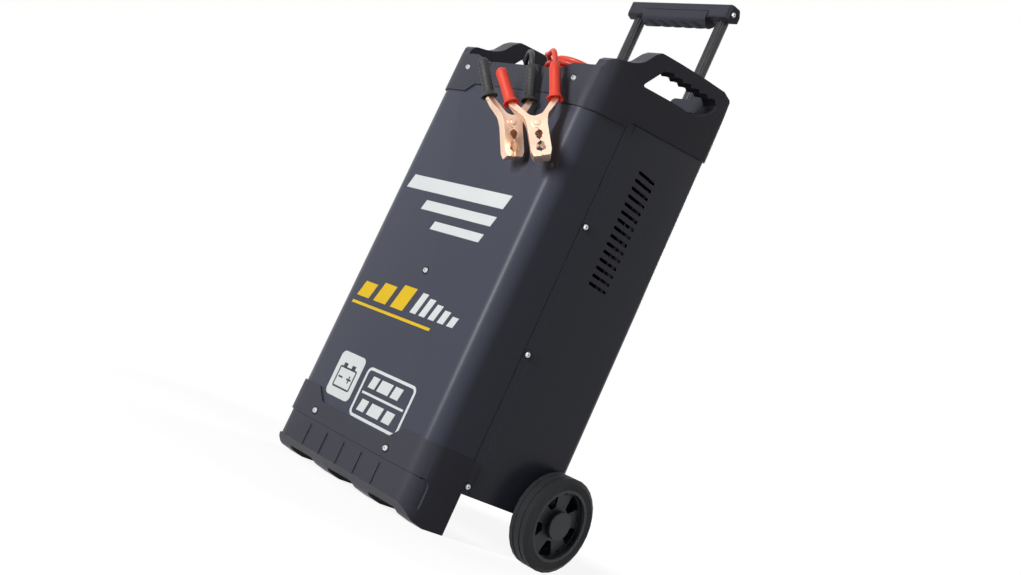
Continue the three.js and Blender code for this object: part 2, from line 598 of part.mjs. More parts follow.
function topCap() {
  const depth = PANEL_THICK + GAP;
  const recess = alongZ(rectangle(-panelHalf, -panelLong, panelHalf, panelLong, 4), -depth, 9);
  const through = alongZ(rectangle(
    -panelHalf + PANEL_LEDGE, -panelLong + PANEL_LEDGE, panelHalf - PANEL_LEDGE, panelLong - PANEL_LEDGE, 4,
  ), -PANEL_SHELL * 3, 0);
  const holes = [recess.applyMatrix4(panelFrame), through.applyMatrix4(panelFrame)];
  [-1, 1].forEach((side) => {
    const x = side * TUBE_HALF;
    holes.push(rodZ(x, tubeY, guideInner, rearWallTop - 30, socketTop + 1));
    holes.push(rodZ(x, tubeY, guideRadius + GAP, CAP_LOW, guideTop + GAP));
    holes.push(rodY(side * capScrewX, capScrewZ, SCREW_HOLE, capFront - 1, trayFront + 1, SHANK_SIDES));
    holes.push(rodY(
      side * capScrewX, capScrewZ, SCREW_HEAD + 1.2, capFront - 1, capFront + CAP_SCREW_POCKET, SHANK_SIDES,
    ));
  });
  [coils.black, coils.red].forEach(({ glandZ }) => {
    holes.push(rodY(GLAND_X, glandZ, GLAND_RADIUS + GAP, trayBack - 1, panelFrontY + 2));
  });
  const seatLow = coils.black.glandZ - GLAND_FLANGE - GAP;
  const seat = block(
    GLAND_X - GLAND_FLANGE - 4, GLAND_X + GLAND_FLANGE + 4, trayBack - GLAND_LONG - 8, panelFrontY + 1,
    seatLow - TRAY_FLOOR_THICK, trayFloor - 1,
  );
  const trough = block(
    GLAND_X - GLAND_FLANGE - 1, GLAND_X + GLAND_FLANGE + 1, trayBack - GLAND_LONG - 4, trayBack,
    seatLow, trayFloor + 5,
  );
  const hollow = cut(capShell(), ...capHollows());
  return cut(join(hollow, seat), trough, ...holes);
}

// ---------------------------------------------------------------- front foot
function frontFoot() {
  const radius = CASE_FRONT_RADIUS + GAP + CAP_WALL;
  const planOf = (inset) => [
    [capHalf - inset, footBack], [-capHalf + inset, footBack],
    [-capHalf + inset, FOOT_FRONT + inset, radius - inset],
    [capHalf - inset, FOOT_FRONT + inset, radius - inset],
  ];
  const toe = [
    [FOOT_FRONT - 1, FOOT_LEDGE], [-1, FOOT_LEDGE], [20, 5, 20], [42, 0],
    [footBack + 1, 0], [footBack + 1, FOOT_TOP], [FOOT_FRONT - 1, FOOT_TOP],
  ];
  const body = common(alongZ(planOf(0), 0, FOOT_TOP), alongX(toe, -capHalf, capHalf));
  const clear = GAP + CASE_HALF;
  const coverRoom = alongZ([
    [clear, footBack + 1], [-clear, footBack + 1], [-clear, -GAP, CASE_FRONT_RADIUS + GAP],
    [clear, -GAP, CASE_FRONT_RADIUS + GAP],
  ], CASE_BOTTOM - GAP, FOOT_TOP + 1);
  const pocket = alongZ(
    rectangle(
      -capHalf + FOOT_WALL, FOOT_FRONT + 2 * FOOT_WALL, capHalf - FOOT_WALL, footBack - FOOT_WALL, 20,
    ),
    FOOT_RISE + 6, FOOT_TOP,
  );
  const dipOuter = FOOT_DIP_HALF + FOOT_DIP_RISE;
  const dipLow = FOOT_TOP - FOOT_DIP;
  const middle = [
    [-dipOuter, FOOT_TOP + 1], [-dipOuter, FOOT_TOP], [-FOOT_DIP_HALF, dipLow, 4],
    [FOOT_DIP_HALF, dipLow, 4], [dipOuter, FOOT_TOP], [dipOuter, FOOT_TOP + 1],
  ];
  const band = common(
    cut(alongZ(planOf(-1), FOOT_LEDGE, FOOT_BAND), alongZ(planOf(FOOT_SINK), FOOT_LEDGE - 1, FOOT_BAND + 1)),
    alongX([
      [FOOT_FRONT - 2, FOOT_LEDGE], [FOOT_SINK_BACK, FOOT_LEDGE], [FOOT_SINK_BACK, FOOT_BAND, 12],
      [FOOT_FRONT - 2, FOOT_BAND],
    ], -capHalf - 2, capHalf + 2),
  );
  const notches = [[-29, 29], [63, 121], [-121, -63]].map(([x0, x1]) => (
    alongY([[x0, -1], [x1, -1], [x1, FOOT_RISE, 3], [x0, FOOT_RISE, 3]], FOOT_FRONT - 1, footBack + 1)
  ));
  const holes = [-1, 1].map((side) => (
    rodY(side * footScrewX, FOOT_SCREW_Z, SCREW_HOLE, FOOT_FRONT - 1, 1, SHANK_SIDES)
  ));
  const ribs = Array.from({ length: FOOT_RIBS }, (_, i) => {
    const x = (i - (FOOT_RIBS - 1) / 2) * FOOT_RIB_PITCH;
    return alongX([
      [FOOT_FRONT + 0.6, FOOT_LEDGE], [FOOT_FRONT + FOOT_SINK + 1, FOOT_LEDGE],
      [FOOT_FRONT + FOOT_SINK + 1, FOOT_BAND - 5], [FOOT_FRONT + 0.6, FOOT_BAND - 8],
    ], x - 1.4, x + 1.4);
  });
  const foot = cut(
    body, coverRoom, pocket, alongY(middle, FOOT_FRONT - 1, 1), band, ...notches, ...holes,
  );
  return join(foot, ...ribs);
}

// ---------------------------------------------------------------- trolley
const TUBE_GROOVES = 8;

function ribbedRing(radius, groove) {
  const points = [];
  for (let i = 0; i < TUBE_GROOVES; i += 1) {
    const angle = (k) => (2 * Math.PI * (i + k)) / TUBE_GROOVES;
    const deep = radius - groove;
    [[0.14, radius], [0.4, radius], [0.66, radius], [0.8, deep], [1, deep]].forEach(([k, r]) => {
      points.push([r * Math.cos(angle(k)), r * Math.sin(angle(k))]);
    });
  }
  return points;
}

const trolleyTube = () => cut(
  alongZ(ribbedRing(TUBE_RADIUS, 0.7), tubeBottom, tubeTop),
  rodZ(0, 0, TUBE_RADIUS - TUBE_WALL, tubeBottom - 1, tubeTop - 2),
);

const guideTube = () => cut(
  rodZ(0, 0, guideRadius, guideBottom, guideTop), rodZ(0, 0, guideInner, guideBottom - 1, guideTop + 1),
);

function handleBar() {
  const section = [
    [barFront + 1, barTop - 2, 2], [barBack - 6, barTop, 2], [barBack, barTop - 9, 2],
    [barBack, barBottom + 7, 2], [barBack - 13, barBottom, 2], [barFront, barBottom + 3, 2],
  ];
  const ends = barHalf - BAR_CHAMFER;
  const plan = [
    [-ends, barFront - 1], [ends, barFront - 1], [barHalf, barFront + 6], [barHalf, barBack + 1],
    [-barHalf, barBack + 1], [-barHalf, barFront + 6],
  ];
  const gripRoom = block(
    -gripHalf - GAP, gripHalf + GAP, barFront - 9, barBack + 1, barBottom - 1, gripTop,
  );
  const holes = [-1, 1].flatMap((side) => [
    rodZ(side * TUBE_HALF, tubeY, guideInner, barBottom - 1, tubeTop + GAP),
    rodX(
      barScrewY, barScrewZ, SCREW_HOLE,
      side * barHalf - (side > 0 ? 9 : 1), side * barHalf + (side > 0 ? 1 : 9),
    ),
  ]);
  const bar = common(alongX(section, -barHalf, barHalf), alongZ(plan, barBottom - 1, barTop + 1));
  return cut(bar, gripRoom, ...holes);
}

const GRIP_WAVES = 5;

function handleGrip() {
  const top = gripTop - GAP;
  const section = [
    [barFront - 1, top, 2], [barFront - 1.5, gripBottom + 8, 5], [barFront + 7, gripBottom, 6],
    [barBack - 11, gripBottom, 6], [barBack - 2, gripBottom + 9, 4], [barBack - 2, top],
  ];
  const waves = Array.from({ length: GRIP_WAVES }, (_, i) => {
    const x = ((i - (GRIP_WAVES - 1) / 2) * 1.72 * gripHalf) / GRIP_WAVES;
    const groove = rodY(0, 0, 6.5, -40, 40, 14);
    return groove.rotateZ(-0.75).translate(x, barFront + 7, gripBottom - 2.4);
  });
  return cut(alongX(section, -gripHalf, gripHalf), ...waves);
}

// ---------------------------------------------------------------- wheels, about the X axis
function tyre() {
  const half = WHEEL_WIDTH / 2;
  const groove = 1.6;
  const right = [
    [rimRadius + GAP, half - 1], [WHEEL_RADIUS - 6, half], [WHEEL_RADIUS, half - 3.6],
    [WHEEL_RADIUS, 7.4], [WHEEL_RADIUS - groove, 6.8], [WHEEL_RADIUS - groove, 4.8], [WHEEL_RADIUS, 4.2],
  ];
  const left = right.map(([r, x]) => [r, -x]).reverse();
  const profile = [right[0], ...left.slice().reverse(), ...right.slice().reverse()];
  return turned(profile, 30).rotateY(Math.PI / 2);
}

function wheelHub(side) {
  const half = WHEEL_WIDTH / 2 - HUB_SET_BACK;
  const web = 4;
  const disc = rodX(0, 0, rimRadius, -half, half, 32);
  const dish = (x0, x1) => (
    cut(rodX(0, 0, rimRadius - 4, x0, x1, 24), rodX(0, 0, HUB_RADIUS, x0 - 1, x1 + 1, 16))
  );
  const windows = [];
  for (let k = 0; k < WHEEL_WINDOWS; k += 1) {
    const large = THREE.MathUtils.degToRad(-12 + (360 * k) / WHEEL_WINDOWS);
    const small = THREE.MathUtils.degToRad(24 + (360 * k) / WHEEL_WINDOWS);
    const inner = HUB_RADIUS + 4;
    const outer = rimRadius - 5.5;
    const keystone = [
      [inner, -4.5], [inner, 4.5], [outer - 4.5, 12.5], [outer, 10], [outer, -10], [outer - 4.5, -12.5],
    ];
    windows.push(alongX(keystone, -half, half).rotateX(large));
    windows.push(alongX(rectangle(outer - 3, -4, outer, 4, 1.2), -half, half).rotateX(small));
  }
  const boreEnds = side > 0 ? [-half - 1, half - HUB_CAP] : [-half + HUB_CAP, half + 1];
  const bore = rodX(0, 0, AXLE_RADIUS + GAP, ...boreEnds);
  return cut(disc, dish(web / 2 + 4, half + 1), dish(-half - 1, -web / 2 + 4), ...windows, bore);
}

// ---------------------------------------------------------------- inside the case
const CORE_HALF = 75;
const CORE_DEEP = 80;
const CORE_CLEAR = 45;              // between the core and the upright
const coreBack = uprightFront - CORE_CLEAR;
const coreFront = coreBack - CORE_DEEP;
const CORE_HIGH = 125;
const LIMB = 25;
const WINDOW = 25;
const coreBottom = baseTop + GAP;

function transformerCore() {
  const windows = [-1, 1].map((side) => {
    const near = side * LIMB;
    const far = side * (LIMB + WINDOW);
    return block(
      Math.min(near, far), Math.max(near, far), coreFront - 1, coreBack + 1,
      coreBottom + LIMB, coreBottom + CORE_HIGH - LIMB,
    );
  });
  const stack = block(-CORE_HALF, CORE_HALF, coreFront, coreBack, coreBottom, coreBottom + CORE_HIGH);
  return cut(stack, ...windows);
}

function transformerWinding() {
  const reach = WINDOW - GAP;
  const ring = alongZ(
    rectangle(-LIMB - reach, coreFront - reach, LIMB + reach, coreBack + reach, 12),
    coreBottom + LIMB + GAP, coreBottom + CORE_HIGH - LIMB - GAP,
  );
  const limb = block(
    -LIMB - GAP, LIMB + GAP, coreFront - GAP, coreBack + GAP, coreBottom, coreBottom + CORE_HIGH,
  );
  return cut(ring, limb);
}

const FINS = 9;
const SINK_HALF = 52;
const SINK_LOW = 225;
const SINK_HIGH = 325;

function heatsink() {
  const back = uprightFront - GAP;
  const fins = Array.from({ length: FINS }, (_, i) => {
    const x = -SINK_HALF + 1.2 + (i * (2 * SINK_HALF - 2.4)) / (FINS - 1);
    return block(x - 1.2, x + 1.2, back - 30, back - 5, SINK_LOW, SINK_HIGH);
  });
  return join(block(-SINK_HALF, SINK_HALF, back - 6, back, SINK_LOW, SINK_HIGH), ...fins);
}

const FAN_PIN = 2;
const fanBack = insideBack;
const fanFront = fanBack - FAN_DEEP;

function fanFrame() {
  const frame = cut(
    alongY(rectangle(-FAN_HALF, fanZ - FAN_HALF, FAN_HALF, fanZ + FAN_HALF, 4), fanFront, fanBack),
    rodY(0, fanZ, FAN_BORE, fanFront - 1, fanBack + 1, 28),
  );
  const spokes = [
    block(-FAN_HALF + 2, FAN_HALF - 2, fanBack - 3, fanBack, fanZ - 2, fanZ + 2),
    block(-2, 2, fanBack - 3, fanBack, fanZ - FAN_HALF + 2, fanZ + FAN_HALF - 2),
  ];
  const motor = rodY(0, fanZ, 15, fanBack - 3, fanBack);
  return join(frame, ...spokes, motor, rodY(0, fanZ, FAN_PIN, fanFront + 5, fanBack - 1, 12));
}

function fanRotor() {
  const hubFront = fanFront + 2;
  const hubBack = fanBack - 3 - GAP;
  const blades = Array.from({ length: 7 }, (_, i) => {
    const blade = block(12, FAN_BORE - 3, -8, 8, -0.8, 0.8).rotateX(0.6);
    return blade.rotateY((2 * Math.PI * i) / 7).translate(0, (hubFront + hubBack) / 2, fanZ);
  });
  const hub = rodY(0, fanZ, 16, hubFront, hubBack);
  return cut(join(hub, ...blades), rodY(0, fanZ, FAN_PIN + GAP, hubFront + 2, hubBack + 1, 12));
}

// ---------------------------------------------------------------- control panel pieces, in the panel's frame
const METER = { x: -62, y: 8, half: 34, high: 27, deep: 14, rise: 9 };
const KNOB = { x: 18, y: 6, radius: 15, high: 17, shaft: 3 };
const ROCKER = { x: 66, y: 14, half: 11, high: 15, deep: 12 };
const BREAKER = { x: 66, y: -22, radius: 5, rise: 6, travel: 3 };
const METER_FLANGE = 4;             // bezel beyond the meter's body
const NEEDLE_PIVOT = 15;
const NEEDLE_LONG = 33;
const NEEDLE_ZERO = Math.PI / 4;       // leans to the left at zero
const SELECTOR_OFF = (2 * Math.PI) / 3;

function panelPlate() {
  const bottom = -PANEL_THICK;
  const plate = alongZ(
    rectangle(-panelHalf + GAP, -panelLong + GAP, panelHalf - GAP, panelLong - GAP, 4), bottom, 0,
  );
  const { x, y, half, high } = METER;
  const wide = half - METER_FLANGE + GAP;
  const tall = high - METER_FLANGE + GAP;
  return cut(
    plate,
    alongZ(rectangle(x - wide, y - tall, x + wide, y + tall), bottom - 1, 1),
    rodZ(KNOB.x, KNOB.y, KNOB.shaft + GAP, bottom - 1, 1, 16),
    alongZ(rectangle(
      ROCKER.x - ROCKER.half - GAP, ROCKER.y - ROCKER.high - GAP,
      ROCKER.x + ROCKER.half + GAP, ROCKER.y + ROCKER.high + GAP,
    ), bottom - 1, 1),
    rodZ(BREAKER.x, BREAKER.y, BREAKER.radius + GAP, bottom - 1, 1, 20),
  );
}

function meterHousing() {
  const { x, y, half, high, deep, rise } = METER;
  const bezel = alongZ(rectangle(x - half, y - high, x + half, y + high, 4), GAP, rise);
  const wide = half - METER_FLANGE;
  const tall = high - METER_FLANGE;
  const body = block(x - wide, x + wide, y - tall, y + tall, -deep, GAP + 1);
  const dial = alongZ(rectangle(x - half + 3, y - high + 3, x + half - 3, y + high - 3, 2), 3, rise + 1);
  const pin = rodZ(x, y - NEEDLE_PIVOT, 1.5, 2, 5.5, 12);
  return join(cut(join(bezel, body), dial), pin);
}

function meterLens() {
  const { x, y, half, high, rise } = METER;
  const inset = 3 + GAP;
  const face = rectangle(x - half + inset, y - high + inset, x + half - inset, y + high - inset, 1.7);
  return alongZ(face, rise - 2.2, rise - 0.4);
}

function meterNeedle() {
  const { x, y, rise } = METER;
  const low = 3.6;
  const high = rise - 2.8;
  const pivotY = y - NEEDLE_PIVOT;
  const arm = alongZ([[-1.2, 0], [1.2, 0], [0.4, NEEDLE_LONG], [-0.4, NEEDLE_LONG]], low, high);
  arm.rotateZ(NEEDLE_ZERO).translate(x, pivotY, 0);
  const needle = join(rodZ(x, pivotY, 3.4, low, high, 12), arm);
  return cut(needle, rodZ(x, pivotY, 1.5 + GAP, low - 1, high + 1, 10));
}

function selectorKnob() {
  const { x, y, radius, high, shaft } = KNOB;
  const skirt = turned([
    [0, 0], [radius, 0], [radius, 4], [radius - 3, high - 2], [radius - 5, high], [0, high],
  ], 18);
  const pointer = block(-1.6, 1.6, 0, radius - 1, high - 4, high + 1.2).rotateZ(SELECTOR_OFF);
  const knob = join(skirt.translate(x, y, GAP), pointer.translate(x, y, GAP));
  return join(knob, rodZ(x, y, shaft, -PANEL_THICK - 9, GAP + 1, 16));
}

// The rocker turns about the middle of its upper body; its outer face is two slopes.
function rockerSwitch() {
  const { x, y, half, high, deep } = ROCKER;
  const side = [
    [-high + 1.5, -3.2], [0, -deep], [high - 1.5, -3.2], [high - 2.5, 3.6], [0, 1.2], [-high + 2.5, 0.4],
  ];
  const trunnion = rodX(0, -PANEL_THICK / 2, 1.2, -half, half, 8);
  return join(alongX(side, -half + 1, half - 1), trunnion).translate([x, y, 0]);
}

function breakerButton() {
  const { x, y, radius, rise, travel } = BREAKER;
  const stem = rodZ(x, y, radius, -PANEL_THICK - travel - 6, rise, 20);
  return join(stem, rodZ(x, y, radius - 1.5, rise - 1, rise + 1, 20));
}

// ---------------------------------------------------------------- leads
function tube(points, radius, sides, steps) {
  const path = new THREE.CatmullRomCurve3(points, false, 'centripetal');
  const section = outline(circle(0, 0, radius, sides));
  return new THREE.ExtrudeGeometry(new THREE.Shape(section), {
    steps, extrudePath: path, bevelEnabled: false, curveSegments: 1,
  });
}

// Centre line of a coil that piles up in layers, winding anticlockwise seen from above. It starts at
// the outer turn of the lowest layer and ends at the outer turn of the highest one.
function coilPath({ x, y, z, turns, leadIn }) {
  const perLayer = turns / COIL_LAYERS;
  const points = [];
  const steps = Math.round(turns * 18);
  for (let i = 0; i <= steps; i += 1) {
    const at = (i / steps) * turns;
    const layer = Math.min(COIL_LAYERS - 1, Math.floor(at / perLayer));
    const along = at - layer * perLayer;
    const inward = layer % 2 === 0 ? along : perLayer - along;
    const radius = COIL_OUTER - coilPitch * inward;
    let climb = layer;
    for (let k = 1; k < COIL_LAYERS; k += 1) {
      const from = at - k * perLayer;
      if (Math.abs(from) < 0.25) climb = k - 1 + (from + 0.25) / 0.5;
    }
    const angle = Math.PI + 2 * Math.PI * at;
    points.push(vec(x + radius * Math.cos(angle), y + radius * Math.sin(angle), z + coilLayer * climb));
  }
  const end = 2 * LEAD_RADIUS;
  const last = points.at(-1);
  const heading = last.clone().sub(points.at(-2)).setZ(0).normalize();
  return [vec(x - COIL_OUTER, y + leadIn, z), ...points, last.clone().addScaledVector(heading, end)];
}

// A tube through the given centre line with a ring at every point.
function woundTube(path, radius, sides) {
  const rings = path.map((point, i) => {
    const before = path[Math.max(0, i - 1)];
    const after = path[Math.min(path.length - 1, i + 1)];
    const tangent = after.clone().sub(before).normalize();
    const across = vec(0, 0, 1).cross(tangent).normalize();
    const up = tangent.clone().cross(across);
    return Array.from({ length: sides }, (_, k) => {
      const angle = (2 * Math.PI * (k + 0.5)) / sides;
      return point.clone().addScaledVector(across, radius * Math.cos(angle))
        .addScaledVector(up, radius * Math.sin(angle));
    });
  });
  const positions = [...rings.flat(), path[0], path.at(-1)].flatMap((p) => [p.x, p.y, p.z]);
  const index = [];
  const startCap = rings.length * sides;
  for (let k = 0; k < sides; k += 1) {
    const next = (k + 1) % sides;
    for (let i = 0; i + 1 < rings.length; i += 1) {
      const [a, b, c, d] = [i * sides + k, i * sides + next, (i + 1) * sides + next, (i + 1) * sides + k];
      index.push(a, b, c, a, c, d);
    }
    const lastRing = (rings.length - 1) * sides;
    index.push(startCap, next, k, startCap + 1, lastRing + k, lastRing + next);
  }
  const geometry = new THREE.BufferGeometry();
  geometry.setAttribute('position', new THREE.Float32BufferAttribute(positions, 3));
  geometry.setIndex(index);
  return geometry;
}

function pathLength(points) {
  return points.slice(1).reduce((sum, point, i) => sum + point.distanceTo(points[i]), 0);
}

// Least distance between the surfaces of turns that lie beside or on each other.
function leastGap(path) {
  let least = Infinity;
  for (let i = 0; i < path.length; i += 1) {
    for (let k = i + 11; k < path.length - 1; k += 1) {
      const segment = new THREE.Line3(path[k], path[k + 1]);
      const nearest = segment.closestPointToPoint(path[i], true, vec());
      least = Math.min(least, nearest.distanceTo(path[i]));
    }
  }
  return least - 2 * LEAD_RADIUS;
}

const coilHeight = coilLayer * (COIL_LAYERS - 1) + 2 * LEAD_RADIUS;
const blackBottom = trayFloor + GAP;
const redBottom = blackBottom + coilHeight + 0.5;
const glandTip = trayBack - GLAND_LONG;
const BLACK_COIL_Y = 60;
const RED_COIL_Y = 51.5;
const coilX = GLAND_X + COIL_OUTER;
const coils = {
  black: {
    x: coilX, y: BLACK_COIL_Y, z: blackBottom + LEAD_RADIUS, turns: 6, leadIn: glandTip - GAP - BLACK_COIL_Y,
    glandZ: blackBottom + LEAD_RADIUS,
  },
  red: {
    x: coilX, y: RED_COIL_Y, z: redBottom + LEAD_RADIUS, turns: 6.125, leadIn: glandTip - GAP - RED_COIL_Y,
    glandZ: redBottom + LEAD_RADIUS,
  },
};

function leadGland(z) {
  const profile = [
    [0, 0], [GLAND_RADIUS - 0.8, 0], [GLAND_RADIUS, 6], [GLAND_RADIUS + 1.2, GLAND_LONG - 3.4],
    [GLAND_FLANGE, GLAND_LONG - 3.4], [GLAND_FLANGE, GLAND_LONG - GAP], [GLAND_RADIUS, GLAND_LONG - GAP],
    [GLAND_RADIUS, GLAND_LONG + 9], [0, GLAND_LONG + 9],
  ];
  return turned(profile, 14).rotateX(-Math.PI / 2).translate(GLAND_X, glandTip, z);
}

function mainsGland() {
  const out = CASE_BACK + GAP;
  return join(
    rodY(0, INLET_Z, INLET_RADIUS, CASE_BACK - SHEET - 8, out + 2),
    rodY(0, INLET_Z, INLET_RADIUS + 4, out, out + 5, 6),
    rodY(0, INLET_Z, INLET_RADIUS, out + 4, out + 14),
  );
}

// ---------------------------------------------------------------- clamps
// Each lies in its own frame: x to the clamp's right, y away from the viewer's side, z up, pivot at
// the origin. The right half holds the lead; the left half turns about the pivot.
const JAW_HALF_DEEP = 9;
const JAW_SHEET = 1.2;
const JAW_EAR = 8;
const JAW_TIP = 45.8;
const JAW_EDGE = 12.6;
const RIVET = 2.6;
const SLEEVE_FOOT = [27.5, 33.8];
const SLEEVE_TOP = [34.85, 86.85];
const SLEEVE_RADIUS = 7.6;
const SLEEVE_RING = 11;
const ROD_RADIUS = 4;
const ROD_LONG = 40;
const sleeveLong = Math.hypot(SLEEVE_TOP[0] - SLEEVE_FOOT[0], SLEEVE_TOP[1] - SLEEVE_FOOT[1]);
const sleeveLean = Math.atan2(SLEEVE_TOP[0] - SLEEVE_FOOT[0], SLEEVE_TOP[1] - SLEEVE_FOOT[1]);

const onSleeve = (geometry) => geometry.rotateY(sleeveLean).translate(SLEEVE_FOOT[0], 0, SLEEVE_FOOT[1]);

// Right-hand half with cheeks at the given half depth.
function jawHalf(deep) {
  const below = -GAP - 0.1;
  const arm = (across) => [
    SLEEVE_FOOT[0] + below * Math.sin(sleeveLean) + across * Math.cos(sleeveLean),
    SLEEVE_FOOT[1] + below * Math.cos(sleeveLean) - across * Math.sin(sleeveLean),
  ];
  const edge = GAP / 2;
  const outer = [
    arm(-ROD_RADIUS), arm(ROD_RADIUS), [25.5, 23, 14], [14.5, 10, 14],
    [JAW_EDGE, -3, 14], [JAW_EDGE, -JAW_TIP + 7, 6],
    [10.2, -JAW_TIP], [edge, -JAW_TIP], [edge, -39.5], [5.4, -37.5], [6.2, -34], [4.6, -32], [5, -29.5],
    [3.2, -27.5], [edge, -25], [edge, -23.5], [3.8, -20], [3.4, -18], [5, -15.5], [4, -12.5],
    [edge, -9.5], [edge, -7.5],
    [-2, -JAW_EAR + 0.3, 2], [-JAW_EAR + 0.6, -2, 5], [-JAW_EAR + 0.6, 4, 5],
    [-2, JAW_EAR + 1, 4], [8, 11.5, 8],
  ];
  const taper = [
    [-deep, -JAW_TIP - 1], [deep, -JAW_TIP - 1], [deep, 13], [ROD_RADIUS, 31], [ROD_RADIUS, 38],
    [-ROD_RADIUS, 38], [-ROD_RADIUS, 31], [-deep, 13],
  ];
  const inner = deep - JAW_SHEET;
  const thin = ROD_RADIUS - JAW_SHEET;
  const pocketTaper = [
    [-inner, -JAW_TIP - 2], [inner, -JAW_TIP - 2], [inner, 12.5], [thin, 29], [-thin, 29], [-inner, 12.5],
  ];
  const pocket = [
    [-JAW_EAR - 5, JAW_EAR + 12], [13, 27], [21.5, 25], [22.5, 21],
    [13, 9.4, 12], [JAW_EDGE - JAW_SHEET, -3, 12],
    [JAW_EDGE - JAW_SHEET, -JAW_TIP + 4], [-JAW_EAR - 5, -JAW_TIP + 4],
  ];
  const body = common(alongY(outer, -deep, deep), alongX(taper, -20, 50));
  const hollow = common(alongY(pocket, -deep, deep), alongX(pocketTaper, -20, 50));
  const rod = onSleeve(rodZ(0, 0, ROD_RADIUS, -4, ROD_LONG, 10));
  return cut(join(body, rod), hollow, rodY(0, 0, RIVET + GAP, -deep - 1, deep + 1, 10));
}

function sleeve() {
  const bore = ROD_RADIUS + GAP;
  const profile = [
    [bore, 0], [SLEEVE_RING, 0], [SLEEVE_RING, 2], [SLEEVE_RADIUS - 0.2, 3.6],
    [SLEEVE_RADIUS, sleeveLong - 10], [SLEEVE_RADIUS - 2.6, sleeveLong], [0, sleeveLong],
    [0, ROD_LONG + GAP], [bore, ROD_LONG + GAP], [bore, 0],
  ];
  return onSleeve(turned(profile, 12));
}

const rivet = () => {
  const head = JAW_HALF_DEEP + GAP;
  return turned([
    [0, -head - 1.8], [3.6, -head - 1.4], [4.6, -head], [RIVET, -head], [RIVET, head], [4.6, head],
    [3.6, head + 1.4], [0, head + 1.8],
  ], 12).rotateX(Math.PI / 2);
};

function clampSpring() {
  const half = JAW_HALF_DEEP - JAW_SHEET * 2 - GAP * 3;
  const coil = cut(rodY(0, 0, 5.2, -half, half, 14), rodY(0, 0, RIVET + GAP, -half - 1, half + 1, 12));
  const leg = alongY([[2.4, 4.2], [3.6, 2.6], [12.6, 12.2], [11.6, 13.4]], -1, 1);
  return join(coil, leg);
}

const flipped = (solid) => toGeometry(toSolid(solid)).scale(-1, 1, 1);

// Mirrors a closed mesh left to right and turns its triangles the right way round again.
function mirrorX(shape) {
  const geometry = flipped(shape);
  const position = geometry.attributes.position;
  for (let i = 0; i < position.count; i += 3) {
    const second = vec().fromBufferAttribute(position, i + 1);
    const third = vec().fromBufferAttribute(position, i + 2);
    position.setXYZ(i + 1, third.x, third.y, third.z);
    position.setXYZ(i + 2, second.x, second.y, second.z);
  }
  geometry.computeVertexNormals();
  return geometry;
}

const BLACK_CLAMP_DROP = 107.8;     // pivots under the rim's corners
const RED_CLAMP_DROP = 106.3;

const CLAMPS = {
  black: {
    pivot: [64.2, -29.6, rimCorner - BLACK_CLAMP_DROP],
    right: [0.3393, 0.8559, 0.3904], up: [-0.3981, -0.2454, 0.8839], rubber: 'black_rubber',
  },
  red: {
    pivot: [116.8, -34.8, rimCorner - RED_CLAMP_DROP],
    right: [0.5983, 0.6081, 0.5217], up: [-0.531, -0.1867, 0.8266], rubber: 'red_rubber',
  },
};

function clampPose({ pivot, right, up }) {
  const x = vec(...right).normalize();
  const z = vec(...up).addScaledVector(x, -vec(...up).dot(x)).normalize();
  const y = z.clone().cross(x);
  return new THREE.Matrix4().makeBasis(x, y, z).setPosition(...pivot);
}

function addClamp(colour) {
  const group = new THREE.Group();
  group.applyMatrix4(clampPose(CLAMPS[colour]));
  charger.add(group);
  const name = (what) => `clamp_${colour}_${what}`;
  piece(name('jaw_fixed'), jawHalf(JAW_HALF_DEEP), 'copper_plate', group);
  piece(name('jaw_moving'), mirrorX(jawHalf(JAW_HALF_DEEP - JAW_SHEET - GAP)), 'copper_plate', group);
  piece(name('sleeve_fixed'), sleeve(), CLAMPS[colour].rubber, group);
  piece(name('sleeve_moving'), mirrorX(sleeve()), CLAMPS[colour].rubber, group);
  piece(name('pivot'), rivet(), 'plain_steel', group);
  piece(name('spring'), clampSpring(), 'plain_steel', group);
}

// Where a lead enters its clamp, and the direction in which it leaves it.
function leadEnd(colour) {
  const pose = clampPose(CLAMPS[colour]);
  const top = vec(SLEEVE_TOP[0], 0, SLEEVE_TOP[1]).applyMatrix4(pose);
  const foot = vec(SLEEVE_FOOT[0], 0, SLEEVE_FOOT[1]).applyMatrix4(pose);
  return { top, away: top.clone().sub(foot).normalize() };
}

// Points chosen by hand between the clamp and the coil; their heights are over the rim's corners.
const LEAD_POINTS = {
  black: [
    [34.9, -22, -4.1], [29.2, -20.2, 0.2], [22.5, -16.8, 1.8], [11.5, -8.5, 0.2], [2, 1, -3.3],
    [-2.2, 12, -8.6], [-2, 25, -13], [0.8, 37, -15],
  ],
  red: [
    [83.8, -30.3, -3.7], [77.8, -28, 0.6], [71.3, -24.1, 2.2], [56, -14, 2.6], [42, -4.5, 7.3],
    [31.5, 5, 12.2],
  ],
};

function leadPath(colour) {
  const { top, away } = leadEnd(colour);
  const coil = coilPath(coils[colour]);
  const start = coil.at(-1);
  const heading = start.clone().sub(coil.at(-2)).normalize();
  const ends = [
    top.clone().addScaledVector(away, GAP), top.clone().addScaledVector(away, GAP + 2 * LEAD_RADIUS),
  ];
  const tail = [
    start.clone().addScaledVector(heading, GAP + LEAD_RADIUS), start.clone().addScaledVector(heading, GAP),
  ];
  return [...ends, ...LEAD_POINTS[colour].map(([x, y, z]) => vec(x, y, rimCorner + z)), ...tail];
}

